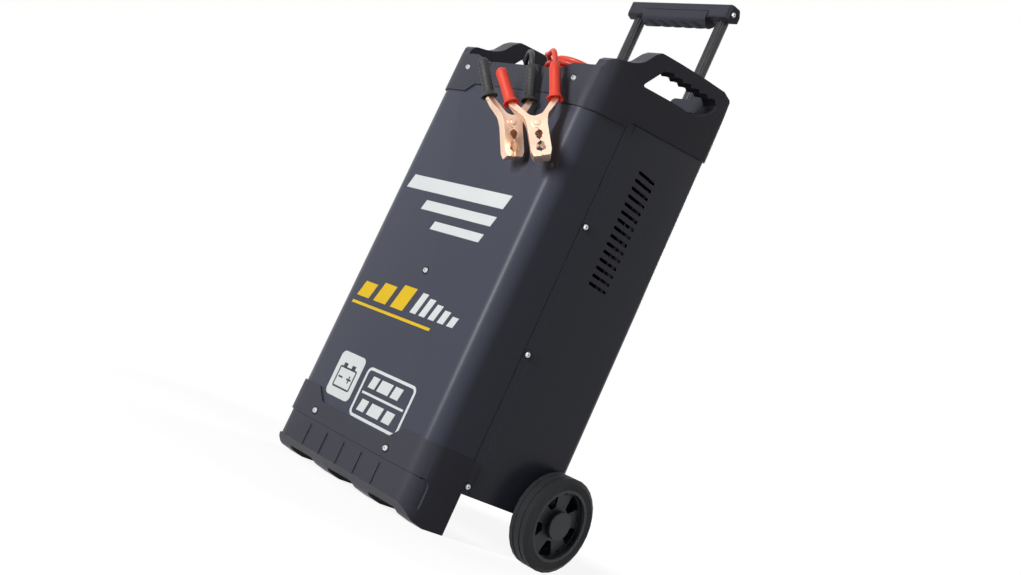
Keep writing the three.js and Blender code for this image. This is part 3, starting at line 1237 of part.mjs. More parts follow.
function addLead(colour) {
  const coil = coilPath(coils[colour]);
  const free = leadPath(colour);
  const curve = new THREE.CatmullRomCurve3(free, false, 'centripetal');
  const steps = 14;
  piece(`${colour}_coil`, toGeometry(toSolid(woundTube(coil, LEAD_RADIUS, 6))), `${colour}_lead`);
  piece(`${colour}_lead`, tube(free, LEAD_RADIUS, 8, steps), `${colour}_lead`);
  piece(`lead_gland_${colour}`, leadGland(coils[colour].glandZ), 'black_rubber');
  console.log(
    `${colour} lead: coil ${pathLength(coil).toFixed(1)} mm, free ${curve.getLength().toFixed(1)} mm,`
    + ` least gap between turns ${leastGap(coil).toFixed(2)} mm`,
  );
}

// ---------------------------------------------------------------- assembly
piece('front_cover', frontCover(), 'case_steel');
piece('rear_cover', rearCover(), 'case_steel');
piece('base_plate', basePlate(), 'plain_steel');
piece('top_cap', topCap(), 'moulding');
piece('front_foot', frontFoot(), 'moulding');

[['left', -1], ['right', 1]].forEach(([name, side]) => {
  piece(`guide_tube_${name}`, guideTube(), 'plain_steel').position.set(side * TUBE_HALF, tubeY, 0);
  piece(`trolley_tube_${name}`, trolleyTube(), 'trolley_tube').position.set(side * TUBE_HALF, tubeY, 0);
  const wheelX = side * (wheelInner + WHEEL_WIDTH / 2);
  piece(`tyre_${name}`, tyre(), 'tyre').position.set(wheelX, axleY, WHEEL_RADIUS);
  piece(`wheel_hub_${name}`, wheelHub(side), 'wheel').position.set(wheelX, axleY, WHEEL_RADIUS);
  screw(
    `bar_screw_${name}`, BAR_SCREW_LONG, vec(side * (barHalf + GAP), barScrewY, barScrewZ), vec(side, 0, 0),
  );
  screw(
    `cap_screw_${name}`, SCREW_LONG,
    vec(side * capScrewX, capFront + CAP_SCREW_POCKET - GAP, capScrewZ), vec(0, -1, 0),
  );
  screw(
    `foot_screw_${name}`, SCREW_LONG, vec(side * footScrewX, FOOT_FRONT - GAP, FOOT_SCREW_Z), vec(0, -1, 0),
  );
  sideScrewZ.forEach((z, i) => {
    const at = vec(side * (CASE_HALF + GAP), sideScrewY, z);
    screw(`side_screw_${name}_${i + 1}`, SCREW_LONG, at, vec(side, 0, 0));
  });
});
screw('centre_screw', SCREW_LONG, vec(0, -GAP, CENTRE_SCREW_Z), vec(0, -1, 0));

const axleHalf = wheelOuter - HUB_SET_BACK - HUB_CAP - GAP;
piece('axle', rodX(axleY, WHEEL_RADIUS, AXLE_RADIUS, -axleHalf, axleHalf), 'plain_steel');
piece('handle_bar', handleBar(), 'moulding');
piece('handle_grip', handleGrip(), 'moulding');
piece('transformer_core', transformerCore(), 'lamination');
piece('transformer_winding', transformerWinding(), 'enamel_wire');
piece('rectifier_heatsink', heatsink(), 'aluminium');
piece('fan_frame', fanFrame(), 'black_plastic');
piece('fan_rotor', fanRotor(), 'black_plastic');
piece('mains_gland', mainsGland(), 'black_rubber');

const panelGroup = new THREE.Group();
panelGroup.applyMatrix4(panelFrame);
charger.add(panelGroup);
piece('control_panel', panelPlate(), 'panel', panelGroup);
piece('ammeter_housing', meterHousing(), 'black_plastic', panelGroup);
piece('ammeter_lens', meterLens(), 'clear', panelGroup);
piece('ammeter_needle', meterNeedle(), 'needle', panelGroup);
piece('charge_selector_knob', selectorKnob(), 'black_plastic', panelGroup);
piece('power_rocker', rockerSwitch(), 'red_plastic', panelGroup);
piece('breaker_button', breakerButton(), 'red_plastic', panelGroup);

addClamp('black');
addClamp('red');
addLead('black');
addLead('red');

// The origin is under the middle of the object, on the floor.
charger.children.forEach((child) => {
  child.position.y -= groundMiddle;
});

export default charger;
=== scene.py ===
"""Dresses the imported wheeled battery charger: finishes, the two leads, finer pieces, lamps and camera."""
import math

import bmesh
import bpy
from bpy.props import FloatProperty, FloatVectorProperty, PointerProperty
from mathutils import Matrix, Vector


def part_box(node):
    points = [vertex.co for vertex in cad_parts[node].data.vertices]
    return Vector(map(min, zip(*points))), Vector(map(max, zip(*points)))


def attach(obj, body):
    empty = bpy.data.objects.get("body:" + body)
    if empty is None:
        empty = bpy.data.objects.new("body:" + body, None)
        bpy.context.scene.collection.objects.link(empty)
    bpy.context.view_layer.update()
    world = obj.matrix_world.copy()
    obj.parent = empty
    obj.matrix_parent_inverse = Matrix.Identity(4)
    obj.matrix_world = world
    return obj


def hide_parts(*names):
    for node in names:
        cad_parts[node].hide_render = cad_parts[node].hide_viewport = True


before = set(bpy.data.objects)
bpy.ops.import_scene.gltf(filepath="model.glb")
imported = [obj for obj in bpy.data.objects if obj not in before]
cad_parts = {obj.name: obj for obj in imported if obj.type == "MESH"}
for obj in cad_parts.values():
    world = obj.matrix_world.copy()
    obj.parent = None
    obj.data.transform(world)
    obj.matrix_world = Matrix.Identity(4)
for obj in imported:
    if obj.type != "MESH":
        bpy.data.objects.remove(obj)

bl_info = {
    "name": "Wheeled battery charger",
    "version": (1, 0, 0),
    "blender": (4, 5, 0),
    "location": "View3D > Sidebar > Charger",
    "description": "Dresses the charger's solids and makes its leads, sleeves, markings and stage",
    "category": "Object",
}

# ------------------------------------------------------------------ sizes shared with the solids, millimetres
GROUND_MIDDLE = 151.45              # the solids' own y minus the part's y
LEAD_RADIUS = 3.5
GAP = 0.3
GLAND_X = 6.5
GLAND_TIP_Y = 80.0
COIL_OUTER = 41.5
COIL_PITCH = 7.7
COIL_LAYER = 7.6
COIL_LAYERS = 4
COIL_X = GLAND_X + COIL_OUTER
COILS = {
    "black": {"y": 60.0, "z": 572.8, "turns": 6.0},
    "red": {"y": 51.5, "z": 603.1, "turns": 6.125},
}
LEAD_POINTS = {
    "black": [
        (34.9, -22, 606.9), (29.2, -20.2, 611.2), (22.5, -16.8, 612.8), (11.5, -8.5, 611.2), (2, 1, 607.7),
        (-2.2, 12, 602.4), (-2, 25, 598), (0.8, 37, 596),
    ],
    "red": [
        (83.8, -30.3, 607.3), (77.8, -28, 611.6), (71.3, -24.1, 613.2), (56, -14, 613.6), (42, -4.5, 618.3),
        (31.5, 5, 623.2),
    ],
}
CLAMPS = {
    "black": {
        "pivot": (64.2, -29.6, 503.2), "right": (0.3393, 0.8559, 0.3904), "up": (-0.3981, -0.2454, 0.8839),
    },
    "red": {
        "pivot": (116.8, -34.8, 504.7), "right": (0.5983, 0.6081, 0.5217), "up": (-0.531, -0.1867, 0.8266),
    },
}
SLEEVE_FOOT = (27.5, 33.8)
SLEEVE_TOP = (34.85, 86.85)
SLEEVE_LONG = math.hypot(SLEEVE_TOP[0] - SLEEVE_FOOT[0], SLEEVE_TOP[1] - SLEEVE_FOOT[1])
SLEEVE_LEAN = math.atan2(SLEEVE_TOP[0] - SLEEVE_FOOT[0], SLEEVE_TOP[1] - SLEEVE_FOOT[1])
PANEL_MIDDLE = (0, 170, 644.5)
PANEL_SLOPE = 0.375
PANEL_ANGLE = math.atan(PANEL_SLOPE)
METER = (-62, 8)                    # middles on the panel, across it and up its slope
NEEDLE_PIVOT = 15                   # below the meter's middle
KNOB = (18, 6)
ROCKER = (66, 14)
BREAKER = (66, -22)
SEAM = 79.5                         # where the front and rear covers meet
SCREW_HEAD = 4.2
SCREW_HEAD_HIGH = 2.2


def part_point(x, y, z):
    """A point of the solids' own millimetres, in the part's metres."""
    return Vector((x, y - GROUND_MIDDLE, z)) / 1000


# ------------------------------------------------------------------ settings
def colour_setting(name, description, default):
    return FloatVectorProperty(
        name=name, description=description, default=default, subtype="COLOR", size=3, min=0, max=1,
    )


def length_setting(name, description, default):
    return FloatProperty(
        name=name, description=description, default=default, unit="LENGTH", precision=5, min=0,
    )


def share_setting(name, description, default):
    return FloatProperty(name=name, description=description, default=default, subtype="FACTOR", min=0, max=1)


def power_setting(name, description, default):
    return FloatProperty(name=name, description=description, default=default, unit="POWER", min=0)


class ChargerCaseSettings(bpy.types.PropertyGroup):
    coat: colour_setting("Coat", "Powder coat of the folded covers", (0.072, 0.076, 0.106))
    moulding: colour_setting("Moulding", "Cap, foot and bar", (0.068, 0.069, 0.088))
    roughness: share_setting("Roughness", "Roughness of the powder coat", 0.3)
    edge: length_setting("Edge", "Rounding of the moulded edges", 0.0009)
    ring: length_setting("Ring", "How far the dark rings reach past the screw heads", 0.0014)


class ChargerLeadSettings(bpy.types.PropertyGroup):
    diameter: length_setting("Diameter", "Outside diameter of both leads", 2 * LEAD_RADIUS / 1000)
    red: colour_setting("Red", "Sheath of the red lead", (0.93, 0.085, 0.045))
    black: colour_setting("Black", "Sheath of the black lead", (0.028, 0.029, 0.032))


class ChargerClampSettings(bpy.types.PropertyGroup):
    copper: colour_setting("Copper", "Plating of the jaws", (0.96, 0.69, 0.52))
    red: colour_setting("Red", "Soft sleeves of the red clamp", (0.92, 0.075, 0.04))
    black: colour_setting("Black", "Soft sleeves of the black clamp", (0.038, 0.039, 0.04))


class ChargerPrintSettings(bpy.types.PropertyGroup):
    pale: colour_setting("Pale", "Pale print on the front", (0.84, 0.87, 0.87))
    accent: colour_setting("Accent", "Coloured print on the front", (0.9, 0.6, 0.03))
    ink: colour_setting("Ink", "Dark lines of the sticker", (0.05, 0.06, 0.07))
    thickness: length_setting("Thickness", "Thickness of the print and the sticker", 0.00016)


class ChargerWheelSettings(bpy.types.PropertyGroup):
    tyre: colour_setting("Tyre", "Tread and side of the tyres", (0.025, 0.026, 0.028))
    hub: colour_setting("Hub", "Moulded wheel", (0.032, 0.035, 0.04))


class ChargerStageSettings(bpy.types.PropertyGroup):
    floor: colour_setting("Floor", "Floor and backdrop", (0.42, 0.42, 0.42))
    key: power_setting("Key", "Tall lamp in front", 53)
    back: power_setting("Back", "Lamp behind on the left", 22)
    fill: power_setting("Fill", "Weak lamp on the right", 0.2)
    sky: share_setting("Sky", "Even light from all round", 0.01)


SETTINGS = {
    "charger_case": ChargerCaseSettings,
    "charger_leads": ChargerLeadSettings,
    "charger_clamps": ChargerClampSettings,
    "charger_print": ChargerPrintSettings,
    "charger_wheels": ChargerWheelSettings,
    "charger_stage": ChargerStageSettings,
}


# ------------------------------------------------------------------ node trees
def add(tree, kind, **sockets):
    """A node of that kind; sockets are set by name, or linked where the value is an output."""
    node = tree.nodes.new(kind)
    for name, value in sockets.items():
        put(tree, node.inputs[name.replace("_", " ")], value)
    return node


def put(tree, socket, value):
    if isinstance(value, bpy.types.NodeSocket):
        tree.links.new(value, socket)
    elif isinstance(value, (tuple, list)) and len(value) == 3 and socket.type == "RGBA":
        socket.default_value = (*value, 1)
    else:
        socket.default_value = value


def maths(tree, operation, a, b=0.0, clamp=False):
    node = tree.nodes.new("ShaderNodeMath")
    node.operation = operation
    node.use_clamp = clamp
    put(tree, node.inputs[0], a)
    put(tree, node.inputs[1], b)
    return node.outputs[0]


def remap(tree, value, low, high, to_low, to_high):
    node = add(tree, "ShaderNodeMapRange", Value=value)
    for name, number in (("From Min", low), ("From Max", high), ("To Min", to_low), ("To Max", to_high)):
        node.inputs[name].default_value = number
    return node.outputs[0]


def blend_colour(tree, share, a, b):
    node = tree.nodes.new("ShaderNodeMix")
    node.data_type = "RGBA"
    put(tree, node.inputs["Factor"], share)
    put(tree, node.inputs[6], a)
    put(tree, node.inputs[7], b)
    return node.outputs[2]


def noise(tree, place, scale, detail=3.0, roughness=0.55, stretch=None):
    if stretch:
        mapping = add(tree, "ShaderNodeMapping", Vector=place)
        mapping.inputs["Scale"].default_value = stretch
        place = mapping.outputs[0]
    node = add(tree, "ShaderNodeTexNoise", Vector=place, Scale=scale, Detail=detail, Roughness=roughness)
    return node.outputs["Fac"]


def scaled(colour, factor):
    return tuple(min(1.0, channel * factor) for channel in colour)


EDGE_SAMPLES = 4
EDGE_HIGHLIGHT_PALER = 3.4                    # colour of the painted highlight on an edge, times the finish's own
STEP_WIDE = 0.0022                  # a step that is pressed into a sheet, metres
STEP_HIGH = 0.0011


def rounded_edges(tree, radius):
    """The surface's direction as if its edges were rounded."""
    edges = tree.nodes.new("ShaderNodeBevel")
    edges.samples = EDGE_SAMPLES
    edges.inputs["Radius"].default_value = radius
    return edges.outputs[0]


def edge_wear(tree, normal, patches):
    """1 where the painted highlight on a rounded edge is strongest and 0 on flat faces, uneven from patch to
    patch.
    """
    plain = tree.nodes.new("ShaderNodeNewGeometry").outputs["Normal"]
    dot = tree.nodes.new("ShaderNodeVectorMath")
    dot.operation = "DOT_PRODUCT"
    tree.links.new(normal, dot.inputs[0])
    tree.links.new(plain, dot.inputs[1])
    bent = remap(tree, maths(tree, "SUBTRACT", 1.0, dot.outputs["Value"]), 0.02, 0.25, 0, 1)
    return maths(tree, "MULTIPLY", bent, remap(tree, patches, 0.35, 0.65, 0.3, 1))


def pressed_step(tree, place, start, normal):
    """The surface's direction with a step pressed in across the sheet, from y = start backwards."""
    parts = add(tree, "ShaderNodeSeparateXYZ", Vector=place)
    rise = remap(tree, parts.outputs["Y"], start, start + STEP_WIDE, 0, 1)
    bump = add(tree, "ShaderNodeBump", Height=rise, Strength=1.0, Distance=STEP_HIGH, Normal=normal)
    return bump.outputs[0]


def finish(
    name, colour, roughness, metallic=0.0, grain=900.0, grain_depth=0.00004, grain_share=0.5, mottle=0.12,
    mottle_scale=14.0, edge=0.0006, edge_highlight=0.25, specular=0.5, coat=0.0, spread=0.12, stretch=None,
    step_at=None, **extra,
):
    """A material with mottled colour, uneven roughness, a fine grain, a painted highlight on its edges and
    maybe a pressed step.
    """
    if name in bpy.data.materials:
        return bpy.data.materials[name]
    material = bpy.data.materials.new(name)
    material.use_nodes = True
    tree = material.node_tree
    shader = tree.nodes["Principled BSDF"]
    place = tree.nodes.new("ShaderNodeTexCoord").outputs["Object"]
    broad = noise(tree, place, mottle_scale, 4.0)
    fine = noise(tree, place, grain, 2.0, 0.6, stretch)
    colour = tuple(colour)
    mix = remap(tree, broad, 0.3, 0.7, 0, 1)
    base = blend_colour(tree, mix, scaled(colour, 1 - mottle), scaled(colour, 1 + mottle))
    uneven = maths(tree, "ADD", maths(tree, "MULTIPLY", broad, 0.5), maths(tree, "MULTIPLY", fine, 0.5))
    rough = remap(tree, uneven, 0.3, 0.7, max(0.03, roughness - spread), min(1.0, roughness + spread))
    bump = add(tree, "ShaderNodeBump", Height=fine, Strength=grain_share, Distance=grain_depth)
    if edge:
        normal = rounded_edges(tree, edge)
        tree.links.new(normal, bump.inputs["Normal"])
        if edge_highlight:
            # Painted highlight: the colour turns paler along rounded edges.
            highlight_share = maths(tree, "MULTIPLY", edge_wear(tree, normal, broad), edge_highlight)
            base = blend_colour(tree, highlight_share, base, scaled(colour, EDGE_HIGHLIGHT_PALER))
    surface = bump.outputs[0]
    if step_at is not None:
        surface = pressed_step(tree, place, step_at, surface)
    tree.links.new(surface, shader.inputs["Normal"])
    tree.links.new(base, shader.inputs["Base Color"])
    tree.links.new(rough, shader.inputs["Roughness"])
    shader.inputs["Metallic"].default_value = metallic
    shader.inputs["Specular IOR Level"].default_value = specular
    shader.inputs["Coat Weight"].default_value = coat
    for socket, value in extra.items():
        shader.inputs[socket.replace("_", " ")].default_value = value
    return material


# ------------------------------------------------------------------ meshes
JOIN_WITHIN = 0.00001
SOLID_FOLD = math.radians(31)       # a solid's sharper folds stay sharp
PIECE_FOLD = math.radians(40)       # and those of a turned piece
ARC_STEPS = 5                       # of a rounded corner


def shade_smooth(tree, domain, smooth):
    node = tree.nodes.new("GeometryNodeSetShadeSmooth")
    node.domain = domain
    node.inputs["Shade Smooth"].default_value = smooth
    return node


def smoothing_group():
    """Joins a solid's loose triangles and shades it smooth, but for its sharp folds."""
    if "smooth_by_fold" in bpy.data.node_groups:
        return bpy.data.node_groups["smooth_by_fold"]
    tree = bpy.data.node_groups.new("smooth_by_fold", "GeometryNodeTree")
    tree.interface.new_socket("Geometry", in_out="INPUT", socket_type="NodeSocketGeometry")
    tree.interface.new_socket("Geometry", in_out="OUTPUT", socket_type="NodeSocketGeometry")
    start = tree.nodes.new("NodeGroupInput")
    end = tree.nodes.new("NodeGroupOutput")
    merge = tree.nodes.new("GeometryNodeMergeByDistance")
    merge.inputs["Distance"].default_value = JOIN_WITHIN
    bare = tree.nodes.new("GeometryNodeRemoveAttribute")
    bare.inputs["Name"].default_value = "custom_normal"
    sharp_edges = shade_smooth(tree, "EDGE", False)
    fold = tree.nodes.new("GeometryNodeInputMeshEdgeAngle")
    sharp = tree.nodes.new("FunctionNodeCompare")
    sharp.operation = "GREATER_THAN"
    sharp.inputs["B"].default_value = SOLID_FOLD
    tree.links.new(fold.outputs["Unsigned Angle"], sharp.inputs["A"])
    tree.links.new(sharp.outputs[0], sharp_edges.inputs["Selection"])
    faces = shade_smooth(tree, "FACE", True)
    edges = shade_smooth(tree, "EDGE", True)
    chain = [start, merge, bare, faces, edges, sharp_edges, end]
    for before, after in zip(chain, chain[1:]):
        tree.links.new(before.outputs[0], after.inputs[0])
    return tree


def dress(name, material):
    """Gives a solid its finish, and smooths its rounded faces."""
    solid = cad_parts[name]
    for slot in solid.material_slots:
        slot.link = "OBJECT"
        slot.material = material
    solid.modifiers.new("Smooth", "NODES").node_group = smoothing_group()


def box_in_millimetres(name):
    """The low and the high corner of a solid's box."""
    return [Vector(corner) * 1000 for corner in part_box(name)]


def mesh_piece(name, mesh, material, body):
    mesh.materials.append(material)
    piece = bpy.data.objects.new(name, mesh)
    bpy.context.scene.collection.objects.link(piece)
    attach(piece, body)
    return piece


def turned_piece(name, rings, sides, place, material, body, closed=True):
    """A piece turned about its own z axis; a ring is (radius, z), and the radius may depend on the angle."""
    vertices = []
    for radius, z in rings:
        for k in range(sides):
            angle = 2 * math.pi * k / sides
            r = radius(angle) if callable(radius) else radius
            vertices.append(place @ Vector((r * math.cos(angle), r * math.sin(angle), z)))
    faces = []
    last = len(rings) if closed else len(rings) - 1
    for i in range(last):
        for k in range(sides):
            a, b = i * sides + k, i * sides + (k + 1) % sides
            shift = ((i + 1) % len(rings) - i) * sides
            faces.append((a, b, b + shift, a + shift))
    if not closed:
        faces.append(tuple(reversed(range(sides))))
        faces.append(tuple(range((len(rings) - 1) * sides, len(rings) * sides)))
    mesh = bpy.data.meshes.new(name)
    mesh.from_pydata([tuple(v) for v in vertices], [], faces)
    mesh.validate()
    mesh.update()
    for polygon in mesh.polygons:
        polygon.use_smooth = True
    solid_sides(mesh)
    return mesh_piece(name, mesh, material, body)


def solid_sides(mesh):
    """Turns all faces outwards and keeps the folds sharp."""
    shell = bmesh.new()
    shell.from_mesh(mesh)
    bmesh.ops.recalc_face_normals(shell, faces=shell.faces)
    for edge in shell.edges:
        edge.smooth = len(edge.link_faces) == 2 and edge.calc_face_angle() < PIECE_FOLD
    shell.to_mesh(mesh)
    shell.free()


def rectangle(left, low, right, high):
    """The outline between those sides, from its lower left corner."""
    return [Vector(corner) for corner in ((left, low), (right, low), (right, high), (left, high))]


def rounded(corners, radius):
    """The outline with its corners rounded."""
    points = []
    for i, corner in enumerate(corners):
        before = (corners[i - 1] - corner).normalized()
        after = (corners[(i + 1) % len(corners)] - corner).normalized()
        half = before.angle(after) / 2
        centre = corner + (before + after).normalized() * radius / math.sin(half)
        start = corner + before * radius / math.tan(half) - centre
        end = corner + after * radius / math.tan(half) - centre
        turn = math.atan2(start.cross(end), start.dot(end))
        for k in range(ARC_STEPS + 1):
            angle = turn * k / ARC_STEPS
            points.append(centre + Vector((
                start.x * math.cos(angle) - start.y * math.sin(angle),
                start.x * math.sin(angle) + start.y * math.cos(angle),
            )))
    return points


def plates(name, shapes, place, low, high, material, body, slot):
    """Thin plates in one piece: a shape is an outline, or an outline and an inner one with as many points."""
    shell = bmesh.new()
    for shape in shapes:
        outer, inner = shape if isinstance(shape, tuple) else (shape, None)
        loops = [outer] if inner is None else [outer, inner]
        levels = [[[shell.verts.new(place @ Vector((*point, level))) for point in loop] for loop in loops]
                  for level in (low, high)]
        count = len(outer)
        for k in range(count):
            n = (k + 1) % count
            for under, over in zip(*levels):
                shell.faces.new((under[k], under[n], over[n], over[k]))
            if inner is not None:
                for level in levels:
                    shell.faces.new((level[0][k], level[0][n], level[1][n], level[1][k]))
        if inner is None:
            for level in levels:
                shell.faces.new(level[0])
    bmesh.ops.recalc_face_normals(shell, faces=shell.faces)
    mesh = bpy.data.meshes.new(name)
    shell.to_mesh(mesh)
    shell.free()
    return mesh_piece(name, mesh, material, body)


def metres_at(x, y, z):
    """The solids' own millimetres as a transform to the part's metres, with its origin at a point."""
    return Matrix.Translation(part_point(x, y, z)) @ Matrix.Scale(0.001, 4)


def facing_front(y):
    """Drawing axes on the front: u to the right, v up, w out of it, with w = 0 at that y."""
    turn = Matrix(((1, 0, 0), (0, 0, -1), (0, 1, 0))).to_4x4()
    return metres_at(0, y, 0) @ turn


def panel_frame():
    """Drawing axes on the control panel: u across, v up its slope, w out of it."""
    return metres_at(*PANEL_MIDDLE) @ Matrix.Rotation(PANEL_ANGLE, 4, "X")


# ------------------------------------------------------------------ camera and stage
CAMERA_RIGHT = Vector((0.669507, 0.616244, 0.414733))
CAMERA_DOWN = Vector((0.210250, 0.378286, -0.901496))
CAMERA_AHEAD = Vector((-0.712429, 0.690755, 0.123700))
CAMERA_PLACE = Vector((1.089991, -1.052120, 0.146502))
CAMERA_LENS = 38.15
CAMERA_SHIFT = -0.00172

LAMPS = {
    "key": {"place": (0.3, -2.6, 0.72), "target": (0, 0, 0.42), "size": (0.34, 1.3)},
    "back": {"place": (-0.9, 2.8, 1.5), "target": (0, 0, 0.42), "size": (1.2, 1.2)},
    "fill": {"place": (2.6, -0.3, 1.2), "target": (0, 0, 0.4), "size": (1.6, 1.6)},
}
FLOOR_HALF = 30
GLOW_NEAR = 0.45                    # up to here from the middle the floor glows least
GLOW_FAR = 0.9                      # and from here on it is white
GLOW_LEAST = 0.86


class CHARGER_OT_camera(bpy.types.Operator):
    """Places the camera"""
    bl_idname = "charger.camera"
    bl_label = "Camera"

    def execute(self, context):
        data = bpy.data.cameras.new("camera")
        data.lens = CAMERA_LENS
        data.shift_x = CAMERA_SHIFT
        data.clip_start = 0.01
        data.clip_end = 50
        camera = bpy.data.objects.new("camera", data)
        context.scene.collection.objects.link(camera)
        turn = Matrix((CAMERA_RIGHT, -CAMERA_DOWN, -CAMERA_AHEAD)).transposed().to_4x4()
        camera.matrix_world = Matrix.Translation(CAMERA_PLACE) @ turn
        context.scene.camera = camera
        return {"FINISHED"}


def area_lamp(context, name, place, target, size, power):
    data = bpy.data.lights.new(name, "AREA")
    data.shape = "RECTANGLE"
    data.size, data.size_y = size
    data.energy = power
    lamp = bpy.data.objects.new(name, data)
    context.scene.collection.objects.link(lamp)
    lamp.location = place
    lamp.rotation_euler = (Vector(target) - Vector(place)).to_track_quat("-Z", "Y").to_euler()


def seen_directly(tree):
    """1 for a ray of the camera, also by way of a glossy face or through glass, and 0 for others."""
    rays = tree.nodes.new("ShaderNodeLightPath")
    seen = maths(tree, "MAXIMUM", rays.outputs["Is Camera Ray"], rays.outputs["Is Glossy Ray"])
    return maths(tree, "MAXIMUM", seen, rays.outputs["Is Transmission Ray"])


def distance_from_middle(tree, place):
    parts = add(tree, "ShaderNodeSeparateXYZ", Vector=place)
    squares = [maths(tree, "MULTIPLY", parts.outputs[axis], parts.outputs[axis]) for axis in "XY"]
    return maths(tree, "POWER", maths(tree, "ADD", *squares), 0.5)


def floor_finish(settings):
    """A pale floor that glows a little less round the charger, where the camera sees it."""
    material = bpy.data.materials.new("stage_floor")
    material.use_nodes = True
    tree = material.node_tree
    shader = tree.nodes["Principled BSDF"]
    place = tree.nodes.new("ShaderNodeTexCoord").outputs["Object"]
    pale = tuple(settings.floor)
    patches = blend_colour(tree, noise(tree, place, 3.0), scaled(pale, 0.98), pale)
    tree.links.new(patches, shader.inputs["Base Color"])
    shader.inputs["Roughness"].default_value = 0.9
    shader.inputs["Specular IOR Level"].default_value = 0
    shader.inputs["Emission Color"].default_value = (1, 1, 1, 1)
    glow = remap(tree, distance_from_middle(tree, place), GLOW_NEAR, GLOW_FAR, GLOW_LEAST, 1.0)
    tree.links.new(maths(tree, "MULTIPLY", seen_directly(tree), glow), shader.inputs["Emission Strength"])
    return material


def make_sky(context, share):
    """White where the camera sees it, and an even light of that share elsewhere."""
    world = bpy.data.worlds.new("sky")
    world.use_nodes = True
    context.scene.world = world
    tree = world.node_tree
    back = tree.nodes["Background"]
    back.inputs["Color"].default_value = (1, 1, 1, 1)
    strength = maths(tree, "ADD", maths(tree, "MULTIPLY", seen_directly(tree), 1 - share), share)
    tree.links.new(strength, back.inputs["Strength"])


class CHARGER_OT_stage(bpy.types.Operator):
    """Makes the pale floor, the lamps and the sky"""
    bl_idname = "charger.stage"
    bl_label = "Stage"

    def execute(self, context):
        settings = context.scene.charger_stage
        context.scene.view_settings.view_transform = "Standard"
        corners = rectangle(-FLOOR_HALF, -FLOOR_HALF, FLOOR_HALF, FLOOR_HALF)
        mesh = bpy.data.meshes.new("floor")
        mesh.from_pydata([(*corner, 0) for corner in corners], [], [(0, 1, 2, 3)])
        mesh.materials.append(floor_finish(settings))
        floor = bpy.data.objects.new("floor", mesh)
        context.scene.collection.objects.link(floor)
        for name, lamp in LAMPS.items():
            power = getattr(settings, name)
            area_lamp(context, f"{name}_lamp", lamp["place"], lamp["target"], lamp["size"], power)
        make_sky(context, settings.sky)
        return {"FINISHED"}


# ------------------------------------------------------------------ leads
STEPS_PER_TURN = 36
COIL_CLIMB = 0.25                   # turns before and after a change of layer in which the lead climbs
FREE_STEPS = 6                      # of a lead's free run, from point to point


def coil_points(colour):
    """Centre line of a coil that piles up in layers, in the solids' millimetres."""
    coil = COILS[colour]
    per_layer = coil["turns"] / COIL_LAYERS
    steps = round(coil["turns"] * STEPS_PER_TURN)
    points = [Vector((COIL_X - COIL_OUTER, GLAND_TIP_Y - GAP, coil["z"]))]
    for i in range(steps + 1):
        at = i / steps * coil["turns"]
        layer = min(COIL_LAYERS - 1, int(at / per_layer))
        along = at - layer * per_layer
        inward = along if layer % 2 == 0 else per_layer - along
        radius = COIL_OUTER - COIL_PITCH * inward
        climb = layer
        for k in range(1, COIL_LAYERS):
            past = at - k * per_layer
            if abs(past) < COIL_CLIMB:
                climb = k - 1 + (past + COIL_CLIMB) / (2 * COIL_CLIMB)
        angle = math.pi + 2 * math.pi * at
        points.append(Vector((
            COIL_X + radius * math.cos(angle),
            coil["y"] + radius * math.sin(angle),
            coil["z"] + COIL_LAYER * climb,
        )))
    heading = (points[-1] - points[-2]) * Vector((1, 1, 0))
    points.append(points[-1] + heading.normalized() * 2 * LEAD_RADIUS)
    return points


def clamp_pose(colour):
    """The clamp's own frame in the solids' millimetres: x right, y away, z up, the pivot at its origin."""
    clamp = CLAMPS[colour]
    x = Vector(clamp["right"]).normalized()
    up = Vector(clamp["up"])
    z = (up - x * up.dot(x)).normalized()
    turn = Matrix((x, z.cross(x), z)).transposed().to_4x4()
    return Matrix.Translation(Vector(clamp["pivot"])) @ turn


def eased(points, steps):
    """A centripetal curve through the points, resampled evenly between each pair."""
    line = [2 * points[0] - points[1], *points, 2 * points[-1] - points[-2]]
    result = []
    for i in range(1, len(line) - 2):
        p0, p1, p2, p3 = line[i - 1:i + 3]
        t0 = 0.0
        t1 = t0 + (p1 - p0).length ** 0.5
        t2 = t1 + (p2 - p1).length ** 0.5
        t3 = t2 + (p3 - p2).length ** 0.5
        for k in range(steps):
            t = t1 + (t2 - t1) * k / steps
            a1 = (t1 - t) / (t1 - t0) * p0 + (t - t0) / (t1 - t0) * p1
            a2 = (t2 - t) / (t2 - t1) * p1 + (t - t1) / (t2 - t1) * p2
            a3 = (t3 - t) / (t3 - t2) * p2 + (t - t2) / (t3 - t2) * p3
            b1 = (t2 - t) / (t2 - t0) * a1 + (t - t0) / (t2 - t0) * a2
            b2 = (t3 - t) / (t3 - t1) * a2 + (t - t1) / (t3 - t1) * a3
            result.append((t2 - t) / (t2 - t1) * b1 + (t - t1) / (t2 - t1) * b2)
    return [*result, points[-1]]


def lead_line(colour):
    """The whole lead from its gland through the coil to its clamp, in metres."""
    coil = coil_points(colour)
    pose = clamp_pose(colour)
    top = pose @ Vector((SLEEVE_TOP[0], 0, SLEEVE_TOP[1]))
    foot = pose @ Vector((SLEEVE_FOOT[0], 0, SLEEVE_FOOT[1]))
    away = (top - foot).normalized()
    by_hand = [Vector(point) for point in reversed(LEAD_POINTS[colour])]
    free = [coil[-1], *by_hand, top + away * (GAP + 2 * LEAD_RADIUS), top + away * GAP]
    return [part_point(*point) for point in [*coil[:-1], *eased(free, FREE_STEPS)]]


